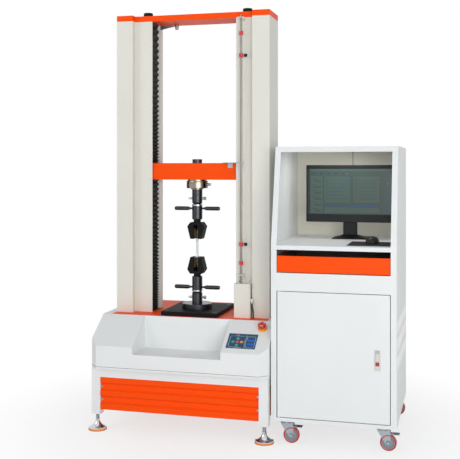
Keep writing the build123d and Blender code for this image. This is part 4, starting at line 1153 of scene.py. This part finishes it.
@dataclass
class OperatorSide:
    """Key panel and stop button on the cover's slope."""

    panel_x: float = 308.0
    panel_y: float = -286.0
    half_width: float = 70.0
    half_length: float = 47.0
    plate: float = 2.6
    border: float = 1.2
    print_width: float = 2.2
    print_rise: float = 0.3
    key_half: float = 6.5
    key_rise: float = 1.4
    arrow_u: float = -21.0
    arrow_v: float = -7.0
    arrow_pitch: float = 21.0
    soft_u: float = 43.0
    soft_v: float = -8.0
    soft_pitch: Pair = (16.0, 23.0)
    stop_x: float = 390.0
    stop_y: float = -212.0
    mark_radius: float = 12.5

    def build(self) -> None:
        """Builds the key panel and the stop button."""
        self.key_panel()
        self.stop_ring()
        self.stop_head()

    def key_panel(self) -> None:
        """Builds the overlay with its printed frames and raised keys."""
        shape = Shape()
        place = on_slope(self.panel_x, self.panel_y)
        w, h, t, b = self.half_width, self.half_length, self.plate, self.border
        shape.box((-w - b, -h - b, 0), (w + b, h + b, 1.0), WHITE_PRINT, 0.4, place)
        shape.box((-w, -h, 0.2), (w, h, t), OVERLAY_BLUE, 0.5, place)
        lifted = place @ Matrix.Translation((0, 0, t - 0.1))
        frames = (
            [(-50, 31), (-60, 27), (-60, -33), (-55, -40), (-8, -40)],
            [(-44, 31), (6, 31)],
            [(4, -42), (-34, -42)],
            [(13, 36), (18, 16), (13, -4), (18, -42)],
            [(19, 36), (25, 20), (19, 0), (24, -42)],
            [(26, 30), (60, 30), (63, 24), (63, -34), (58, -41), (28, -41)],
        )
        for line in frames:
            shape.strip(line, self.print_width, self.print_rise, OVERLAY_LINE, lifted)
        shape.box((-30, 34, 0), (-18, 41, 0.4), KEY_RED, 0.15, lifted)
        u, v, p = self.arrow_u, self.arrow_v, self.arrow_pitch
        keys = [(u, v, KEY_RED), (u + p, v, KEY_ORANGE)]
        keys += [(u - p, v, KEY_GREEN), (u, v + p, KEY_GREEN), (u, v - p, KEY_GREEN)]
        pu, pv = self.soft_pitch
        for su in (-0.5, 0.5):
            for sv in (-0.5, 0.5):
                keys.append((self.soft_u + su * pu, self.soft_v + sv * pv, KEY_BLUE))
        k = self.key_half
        for x, y, finish in keys:
            shape.box((x - k, y - k, 0), (x + k, y + k, self.key_rise), finish, 0.6, lifted)
        shape.build("key_panel_overlay", "frame", "control_panel")

    def stop_ring(self) -> None:
        """Builds the amber ring under the stop button."""
        shape = Shape()
        ring = [(11.4, 0), (22, 0), (22, 6.5), (20.6, 9.4), (19.4, 10), (11.4, 10)]
        shape.lathe(ring, YELLOW_MOULDING, on_slope(self.stop_x, self.stop_y), looped=True)
        shape.build("stop_button_ring", "frame", "estop_base")

    def stop_head(self) -> None:
        """Builds the mushroom head with its three turning marks."""
        shape = Shape()
        place = on_slope(self.stop_x, self.stop_y)
        shank = [(0.4, 6.4), (10.9, 6.4), (10.9, 16.3), (16.5, 16.3)]
        rim = [(19.2, 17.4), (20, 19.5), (20, 23.5), (19, 27.4)]
        dome = [(16, 30.4), (11, 31.9), (5, 32.3), (0.4, 32.3)]
        shape.lathe(shank + rim + dome, RED_MOULDING, place)
        for third in range(3):
            turns = [math.tau * third / 3 + i * 0.25 for i in range(5)]
            arc = [(self.mark_radius * math.cos(t), self.mark_radius * math.sin(t)) for t in turns]
            shape.strip(arc, 2.4, 1.2, WHITE_PRINT, place @ Matrix.Translation((0, 0, 30.8)))
        shape.build("stop_button_head", "stop_button", "estop_button")


@dataclass
class Cabinet:
    """Cabinet shell with its bay, drawer, door and vents."""

    left_x: float = 448.0
    right_x: float = 1023.0
    back_y: float = 370.0
    sheet: float = 2.0
    shelf_z: float = SHELF_TOP
    top_z: float = 1380.0
    seam_x: float = 748.0
    seam_half: float = 1.5
    shade_sheet_gap: float = 0.1
    shade_sheet_mm: float = 1.0
    drawer_x: Pair = (485.0, 986.0)
    drawer_y: Pair = (-287.0, 136.0)
    drawer_z: Pair = (802.0, 867.0)
    vent_bands: tuple[Pair, ...] = ((530.0, 579.0), (447.0, 498.0), (361.0, 414.0))
    vent_y: Pair = (-232.0, 308.0)
    vent_pitch: float = 12.0
    rib_share: float = 0.8
    rib_sink: float = 0.2
    rib_rise: float = 1.6
    lock_x: float = 938.0
    lock_y: float = -294.0
    lock_z: float = 412.0
    lock_half_x: float = 9.0

    def build(self) -> None:
        """Paints the cabinet and adds its liner, the dark sheet of painted shade in the drawer, the vents and
        the lock.
        """
        paint(WHITE_COAT, "cabinet_shell", "cabinet_door")
        paint(ORANGE_COAT, "cabinet_drawer")
        self.liner()
        self.drawer_shade_sheet()
        self.vents()
        self.lock()

    def liner(self) -> None:
        """Adds the folded liner plates at the back of the bay, with the seam between them; their beige grey
        is painted shade.
        """
        shape = Shape()
        y1 = self.back_y - self.sheet
        x0, x1 = self.left_x + self.sheet, self.right_x - self.sheet
        z0, z1 = self.shelf_z + 0.4, self.top_z - self.sheet - 1
        seam0, seam1 = self.seam_x - self.seam_half, self.seam_x + self.seam_half
        for low_x, high_x in ((x0 + 1, seam0), (seam1, x1 - 1)):
            # Painted shade: the plates' beige grey stands for the shade in the bay.
            shape.box((low_x, y1 - 1.6, z0), (high_x, y1 - 0.1, z1), BAY_SHADE_COAT, 0.5)
        shape.box((seam0, y1 - 0.8, z0), (seam1, y1 - 0.1, z1), BLACK_RUBBER, 0.2)
        shape.build("bay_shade_liner", "cabinet")

    def drawer_shade_sheet(self) -> None:
        """Lines the drawer's inside with a dark brown sheet of painted shade, which shows as a dark gap over
        its front.
        """
        shape = Shape()
        (x0, x1), (y0, y1), (z0, z1) = self.drawer_x, self.drawer_y, self.drawer_z
        gap, thick = self.shade_sheet_gap, self.shade_sheet_mm
        low, high = z0 + gap, z0 + gap + thick
        # Painted shade: these dark sheets stand for the shadow inside the drawer.
        shape.box((x0 + gap, y0 + gap, low), (x1 - gap, y1 - gap, high), DRAWER_SHADE_COAT, 0.2)
        for x in (x0 + gap, x1 - gap - thick):
            shape.box((x, y0 + gap, high), (x + thick, y1 - gap, z1), DRAWER_SHADE_COAT, 0.2)
        for y in (y0 + gap, y1 - gap - thick):
            shape.box((x0 + gap + thick, y, high), (x1 - gap - thick, y + thick, z1), DRAWER_SHADE_COAT, 0.2)
        shape.build("drawer_shade_sheet", "cabinet_drawer")

    def vents(self) -> None:
        """Adds the pressed vent ribs on the right side, in a whiter coat as painted highlight."""
        shape = Shape()
        y0, y1 = self.vent_y
        x0, x1 = self.right_x - self.rib_sink, self.right_x + self.rib_rise
        wide = self.vent_pitch * self.rib_share
        for low, high in self.vent_bands:
            for i in range(int((y1 - y0) / self.vent_pitch)):
                y = y0 + i * self.vent_pitch
                # Painted highlight: the ribs take a whiter coat than the side they stand on.
                shape.box((x0, y, low), (x1, y + wide, high), RIB_HIGHLIGHT_COAT, 0.6)
        shape.build("vent_ribs", "cabinet")

    def lock(self) -> None:
        """Adds the lock plate with its push button on the door."""
        shape = Shape()
        x, y, z, w = self.lock_x, self.lock_y, self.lock_z, self.lock_half_x
        shape.box((x - 13.4, y - 0.4, z - 46.8), (x + 13.4, y + 2.4, z + 46.8), PALE_MOULDING, 1.2)
        shape.box((x - w, y - 3.4, z - 4), (x + w, y, z + 30), PALE_MOULDING, 1.4)
        for low, high in ((33, 36), (40, 42)):
            shape.box((x - w, y - 1.6, z + low), (x + w, y, z + high), GREY_MOULDING, 0.5)
        shape.box((x - w + 0.6, y - 5, z - 25), (x + w - 0.6, y, z - 8), RED_MOULDING, 2.0)
        shape.build("door_lock_plate", "cabinet_door")


@dataclass
class Workstation:
    """Monitor on its stand, with a mouse on its pad."""

    centre_x: float = 759.0
    centre_y: float = 141.0
    stand_y: float = 200.0
    half_width: float = 218.0
    low_z: float = 1006.0
    high_z: float = 1293.0
    half_depth: float = 17.0
    shelf_z: float = SHELF_TOP
    side_bezel: float = 7.0
    top_bezel: float = 18.0
    bottom_bezel: float = 40.0
    pad_x: Pair = (790.0, 988.0)
    pad_y: Pair = (-228.0, -12.0)
    pad_thickness: float = 2.4
    mouse_x: float = 897.0
    mouse_y: float = -105.0
    mouse_half: Pair = (31.0, 54.0)
    mouse_steps: int = 36
    mouse_taper: float = 0.1
    back_half: float = 150.0
    neck_half: float = 35.0
    neck_depth: float = 18.0
    foot_corner: float = 8.0
    slot_count: int = 14
    slot_pitch: float = 16.0
    slot_width: float = 6.0

    def build(self) -> None:
        """Builds the monitor, its picture, the mouse and the pad."""
        self.case()
        self.picture()
        self.mouse()

    def case(self) -> None:
        """Builds the monitor's case, neck and foot."""
        shape = Shape()
        x, y, w, d = self.centre_x, self.centre_y, self.half_width, self.half_depth
        front = y - d
        z0, z1 = self.low_z, self.high_z
        shape.box((x - w, front + 2, z0), (x + w, front + 14, z1), BLACK_MOULDING, 1.5)
        bars = (
            ((x - w, z0), (x + w, z0 + self.bottom_bezel)),
            ((x - w, z1 - self.top_bezel), (x + w, z1)),
            ((x - w, z0), (x - w + self.side_bezel, z1)),
            ((x + w - self.side_bezel, z0), (x + w, z1)),
        )
        for low, high in bars:
            shape.box((low[0], front, low[1]), (high[0], front + 5, high[1]), BLACK_MOULDING, 1.2)
        w = self.back_half
        shape.box((x - w, front + 12, z0 + 45), (x + w, y + d, z1 - 50), BLACK_MOULDING, 5.0)
        for i in range(self.slot_count):
            x0 = x - 104 + i * self.slot_pitch
            low, high = (x0, y + d - 1, z1 - 86), (x0 + self.slot_width, y + d + 0.8, z1 - 62)
            shape.box(low, high, BLACK_RUBBER, 0.3)
        w, near = self.neck_half, y + d - 0.5
        low, high = (x - w, near, self.shelf_z + 8), (x + w, near + self.neck_depth, z0 + 143)
        shape.box(low, high, BLACK_MOULDING, 3.0)
        foot = []
        corner = self.foot_corner
        steps = ((0.0, 90, 75, 0), (3.0, 90, 75, 0), (6.0, 86, 71, 0), (12.0, 60, 42, 12), (22.0, 37, 14, 32))
        for h, fx, fy, back in steps:
            near, far = self.stand_y - back - fy, self.stand_y - back + fy
            x0, x1 = x - fx, x + fx
            ring = [(x0 + corner, near), (x1 - corner, near), (x1, near + corner), (x1, far - corner)]
            ring += [(x1 - corner, far), (x0 + corner, far), (x0, far - corner), (x0, near + corner)]
            foot.append([Vector((*spot, self.shelf_z + h)) for spot in ring])
        shape.loft(foot, BLACK_MOULDING)
        shape.build("monitor_case", "cabinet", "monitor")

    def picture(self) -> None:
        """Builds the picture: panes, a rising curve, a grid, a bar and rows of plain marks."""
        shape = Shape()
        right = self.centre_x + self.half_width - self.side_bezel
        left = self.centre_x - self.half_width + self.side_bezel
        top, low = self.high_z - self.top_bezel, self.low_z + self.bottom_bezel
        front = self.centre_y - self.half_depth + 2.0
        shape.box((left - 2, front - 0.2, low - 2), (right + 2, front + 0.6, top + 2), SCREEN_FIELD, 0.2)
        # A plane that looks to the front: X runs right and Y up, from the picture's upper left corner.
        sheet = facing((left, front - 0.2, top), (1, 0, 0), (0, -1, 0))
        wide, tall = right - left, top - low

        def pane(u0: float, u1: float, v0: float, v1: float, finish: Finish, rise: float = 0.2) -> None:
            """Adds a flat pane by its distances from the picture's left and upper edges."""
            shape.box((u0, -v1, -0.05), (u1, -v0, rise), finish, 0.05, sheet)

        def line(points: Sequence[Pair], width: float, finish: Finish) -> None:
            """Adds a line by distances from the picture's left and upper edges."""
            shape.strip([(u, -v) for u, v in points], width, 0.35, finish, sheet)

        pane(0, 11, 0, tall, SCREEN_DARK)
        for i in range(9):
            pane(3, 8, 6 + i * 24, 11 + i * 24, SCREEN_RED if i % 4 == 2 else SCREEN_BLUE)
        pane(11, wide, 3, 13, SCREEN_PANE)
        for i in range(10):
            u = 26 + i * 19
            pane(u, u + 7, 21, 29, SCREEN_RED if i == 9 else SCREEN_BLUE if i % 2 else SCREEN_LINE)
        pane(16, 76, 38, tall - 6, SCREEN_PANE)
        for i in range(6):
            line([(22, 52 + i * 30), (48, 52 + i * 30)], 1.6, SCREEN_LINE)
            pane(34, 70, 58 + i * 30, 68 + i * 30, SCREEN_FIELD, 0.3)
        for start in (86, 232):
            pane(start, start + 128, 40, 172, SCREEN_PANE)
            line([(start + 12, 48), (start + 12, 152), (start + 122, 152)], 1.4, SCREEN_LINE)
            for i in range(1, 6):
                line([(start + 12, 152 - i * 19), (start + 120, 152 - i * 19)], 0.6, SCREEN_LINE)
        line([(100, 150), (128, 130), (158, 100), (186, 70), (206, 54)], 1.8, SCREEN_BLUE)
        line([(244, 150), (244, 50)], 2.2, SCREEN_RED)
        for i in range(1, 8):
            line([(244 + i * 14, 152), (244 + i * 14, 50)], 0.6, SCREEN_LINE)
        pane(86, 360, 184, 190, SCREEN_BLUE, 0.4)
        pane(86, 360, 194, tall - 6, SCREEN_PANE)
        for i in range(4):
            pane(wide - 24, wide - 17, 52 + i * 19, 59 + i * 19, SCREEN_RED if i == 1 else SCREEN_BLUE)
        disc = [(0.2, 0.0), (6.0, 0.0), (6.0, 0.4), (0.2, 0.4)]
        for v in (150, 177, 204):
            shape.lathe(disc, SCREEN_BLUE, sheet @ Matrix.Translation((wide - 24, -v, 0)), steps=24)
        shape.build("monitor_picture", "cabinet")

    def mouse(self) -> None:
        """Builds the mouse and its pad on the shelf."""
        shape = Shape()
        x, y, z = self.mouse_x, self.mouse_y, self.shelf_z
        (x0, x1), (y0, y1) = self.pad_x, self.pad_y
        shape.box((x0, y0, z), (x1, y1, z + self.pad_thickness), PAD_CLOTH, 0.8)
        half_x, half_y = self.mouse_half
        rings = []
        rises = ((2.5, 0.86), (7.0, 1.0), (17.0, 1.0), (25.0, 0.9), (31.0, 0.72), (34.5, 0.46), (35.5, 0.16))
        for h, grow in rises:
            ring = []
            for i in range(self.mouse_steps):
                turn = math.tau * i / self.mouse_steps
                across, along = math.cos(turn), math.sin(turn)
                # The shell narrows towards its far end, where its lower rings tilt up.
                spot_x = x + half_x * grow * across * (1 - self.mouse_taper * along)
                spot_z = z + h + (1.5 - 0.05 * h) * along
                ring.append(Vector((spot_x, y + half_y * grow * along, spot_z)))
            rings.append(ring)
        shape.loft(rings, BLACK_MOULDING)
        wheel = [(2, -4), (8.5, -4), (9.5, -3), (9.5, 3), (8.5, 4), (2, 4)]
        shape.lathe(wheel, GREY_MOULDING, along_x(x, y + 24, z + 25), looped=True, steps=24)
        shape.build("mouse_on_pad", "cabinet")


@dataclass
class Casters:
    """Wheels, forks and brake pedals under the cabinet."""

    wheel_z: float = 37.5
    pivot_x: Pair = (513.0, 958.0)
    trail: float = 26.0
    front_y: float = -257.0
    rear_y: float = 337.0
    nut_y: float = 17.0
    tread_reach: float = 26.0
    tread_z: Pair = (77.8, 79.2)
    tread_half: float = 15.0
    tread_pitch: float = 5.0
    tread_width: float = 3.0
    tread_count: int = 5

    def build(self) -> None:
        """Paints the forks and builds the wheels."""
        paint(ZINC, "caster_mounts", "front_left_fork", "front_right_fork")
        for hand, x in zip(("left", "right"), self.pivot_x):
            for end, y in (("front", self.front_y), ("rear", self.rear_y)):
                body = f"{end}_{hand}_wheel"
                self.wheel(body, x + self.trail, y)
                fork = f"front_{hand}_fork" if end == "front" else "cabinet"
                self.fittings(f"{end}_{hand}", fork, x, y, end == "front")

    def wheel(self, body: str, x: float, y: float) -> None:
        """Builds one wheel: a red tyre on a dished grey hub.

        Args:
            body: The wheel's body, which has the name of its CAD node.
            x: Where its axle lies to the right.
            y: Where its middle lies to the back.
        """
        shape = Shape()
        place = along_y(x, y, self.wheel_z)
        half = [(29.5, 10.5), (33.5, 12), (36.2, 10.8), (37.5, 7.5)]
        tyre = [(r, -h) for r, h in half] + half[::-1]
        shape.lathe(tyre, RED_TYRE, place, looped=True)
        half = [(5.2, 12), (9, 12), (10, 11), (11, 7.5), (23, 6.5), (26, 10.4), (29.4, 10.8), (30.4, 9)]
        hub = [(r, -h) for r, h in half] + half[::-1]
        shape.lathe(hub, GREY_MOULDING, place, looped=True)
        shape.build(f"{body}_tyre_and_hub", body, body)

    def fittings(self, name: str, body: str, x: float, y: float, braked: bool) -> None:
        """Adds the axle nuts, the swivel race and, where it is braked, the pedal's tread.

        Args:
            name: Which caster it is.
            body: The body that holds its fork.
            x: Where its pivot lies to the right.
            y: Where its pivot lies to the back.
            braked: Whether it has a pedal.
        """
        shape = Shape()
        nut = [(0.3, -0.2), (7.2, -0.2), (8, 0.6), (8, 4.2), (7.2, 5), (4, 5), (4, 6.5), (0.3, 6.5)]
        for side in (-1, 1):
            spot = (x + self.trail, y + side * self.nut_y, self.wheel_z)
            place = facing(spot, (1, 0, 0), (0, side, 0))
            shape.lathe(nut, ZINC, place, steps=6)
        race = [(20, 92), (24.4, 92), (25.2, 93), (25.2, 96), (23.6, 98), (23.6, 100.6), (20, 100.6)]
        shape.lathe(race, ZINC, Matrix.Translation((x, y, 0)), looped=True)
        if braked:
            start = x + self.trail + self.tread_reach
            (low, high), half = self.tread_z, self.tread_half
            for i in range(self.tread_count):
                x0 = start + i * self.tread_pitch
                x1 = x0 + self.tread_width
                shape.box((x0, y - half, low), (x1, y + half, high), BLACK_MOULDING, 0.4)
        shape.build(f"{name}_caster_fittings", body)


@dataclass(frozen=True)
class Lamp:
    """One soft round lamp, in metres and watts."""

    name: str
    place: Triple
    target: Triple
    size: float
    power: float

    def hang(self) -> None:
        """Hangs the lamp at its place, facing its target."""
        light = bpy.data.lights.new(self.name, "AREA")
        light.shape = "DISK"
        light.size = self.size
        light.energy = self.power
        lamp = bpy.data.objects.new(self.name, light)
        lamp.location = self.place
        way = Vector(self.target) - Vector(self.place)
        lamp.rotation_euler = way.to_track_quat("-Z", "Y").to_euler()
        bpy.context.scene.collection.objects.link(lamp)
        LOG.info("%s lamp: %.1f W", self.name, self.power)


@dataclass
class Studio:
    """Floor, soft lamps, white surroundings and the camera."""

    image: tuple[int, int] = (460, 459)
    focal_px: float = 867.7
    horizon_row: float = 167.0
    camera_at: Triple = (1.0224, -4.2458, 1.2832)
    camera_turn: float = 15.0
    sensor_mm: float = 36.0
    floor_half: float = 14.0
    floor_tint: str = "#f6f6f6"
    floor_roughness: float = 0.9
    # The floor fades from its own look to white between these distances, and by these shares.
    fade_reach: Pair = (0.5, 1.6)
    fade_share: Pair = (0.7, 1.0)
    sky_tint: str = "#f4f7fa"
    sky_strength: float = 0.42
    lamps: tuple[Lamp, ...] = (
        Lamp("left", (-3.0, -3.2, 2.6), (0.0, 0.0, 1.0), 2.4, 30.0),
        Lamp("right", (3.5, -5.0, 1.6), (0.2, 0.0, 1.0), 3.4, 102.0),
        Lamp("front", (1.7, -5.8, 1.2), (0.2, 0.0, 1.0), 3.0, 66.0),
        Lamp("bay", (0.45, 0.05, 1.36), (0.45, 0.05, 0.92), 0.3, 0.9),
        Lamp("top", (0.2, -0.6, 4.4), (0.1, 0.0, 0.0), 3.0, 7.0),
    )

    def build(self) -> None:
        """Sets up the studio."""
        self.floor()
        self.surroundings()
        for lamp in self.lamps:
            lamp.hang()
        self.camera()

    def seen_rays(self, tree: bpy.types.NodeTree) -> bpy.types.NodeSocket:
        """Tells what the camera sees, directly, in metal or through glass.

        Args:
            tree: The node tree that asks.

        Returns:
            A value that is 1 for such rays and 0 for the rest.
        """
        rays = add_node(tree, "ShaderNodeLightPath").outputs
        links = {0: rays["Is Camera Ray"], 1: rays["Is Glossy Ray"]}
        seen = add_node(tree, "ShaderNodeMath", links=links, operation="MAXIMUM")
        links = {0: seen.outputs[0], 1: rays["Is Transmission Ray"]}
        return add_node(tree, "ShaderNodeMath", links=links, operation="MAXIMUM").outputs[0]

    def floor(self) -> None:
        """Lays the pale floor, which fades to white away from the object."""
        h = self.floor_half
        mesh = bpy.data.meshes.new("floor")
        mesh.from_pydata([(-h, -h, 0), (h, -h, 0), (h, h, 0), (-h, h, 0)], [], [(0, 1, 2, 3)])
        floor = bpy.data.objects.new("floor", mesh)
        bpy.context.scene.collection.objects.link(floor)
        material = bpy.data.materials.new("pale_floor")
        material.use_nodes = True
        tree = material.node_tree
        shader = tree.nodes["Principled BSDF"]
        shader.inputs["Base Color"].default_value = linear(self.floor_tint)
        shader.inputs["Roughness"].default_value = self.floor_roughness
        white = add_node(tree, "ShaderNodeEmission", {"Color": WHITE, "Strength": 1.0})
        seen = self.seen_rays(tree)
        place = add_node(tree, "ShaderNodeTexCoord").outputs["Object"]
        reach = add_node(tree, "ShaderNodeVectorMath", links={0: place}, operation="LENGTH").outputs["Value"]
        near_to_far = dict(enumerate((*self.fade_reach, *self.fade_share), start=1))
        fade = add_node(tree, "ShaderNodeMapRange", near_to_far, {0: reach}, interpolation_type="SMOOTHSTEP")
        share = add_node(tree, "ShaderNodeMath", links={0: fade.outputs[0], 1: seen}, operation="MULTIPLY")
        layers = {0: share.outputs[0], 1: shader.outputs[0], 2: white.outputs[0]}
        mixed = add_node(tree, "ShaderNodeMixShader", links=layers)
        tree.links.new(mixed.outputs[0], tree.nodes["Material Output"].inputs["Surface"])
        mesh.materials.append(material)

    def surroundings(self) -> None:
        """Makes the surroundings white to the camera and in reflections, and a soft light to the rest."""
        scene = bpy.context.scene
        scene.view_settings.view_transform = "Standard"
        world = bpy.data.worlds.new("studio")
        scene.world = world
        world.use_nodes = True
        tree = world.node_tree
        soft = tree.nodes["Background"]
        soft.inputs["Color"].default_value = linear(self.sky_tint)
        soft.inputs["Strength"].default_value = self.sky_strength
        white = add_node(tree, "ShaderNodeBackground", {"Color": WHITE, "Strength": 1.0})
        layers = {0: self.seen_rays(tree), 1: soft.outputs[0], 2: white.outputs[0]}
        mixed = add_node(tree, "ShaderNodeMixShader", links=layers)
        tree.links.new(mixed.outputs[0], tree.nodes["World Output"].inputs["Surface"])

    def camera(self) -> None:
        """Sets the level camera at the photograph's place, with the shift that its framing needs."""
        data = bpy.data.cameras.new("camera")
        data.sensor_width = self.sensor_mm
        data.lens = self.focal_px / self.image[0] * data.sensor_width
        data.shift_y = (self.horizon_row - self.image[1] / 2) / self.image[0]
        camera = bpy.data.objects.new("camera", data)
        camera.location = self.camera_at
        camera.rotation_euler = (math.radians(90.0), 0.0, math.radians(self.camera_turn))
        bpy.context.scene.collection.objects.link(camera)
        bpy.context.scene.camera = camera


def main() -> None:
    """Builds the looks in order."""
    logging.basicConfig(level=logging.INFO)
    parts = (
        Base(),
        Columns(),
        Drive(),
        Crosshead(),
        LoadTrain("upper", UPPER_MOUTH, 1, "crosshead"),
        LoadTrain("lower", LOWER_MOUTH, -1, "frame"),
        TestPiece(),
        LimitStop(),
        OperatorSide(),
        Cabinet(),
        Workstation(),
        Casters(),
        Studio(),
    )
    for part in parts:
        part.build()
        LOG.info("built %s", type(part).__name__)


if __name__ == "__main__":
    main()
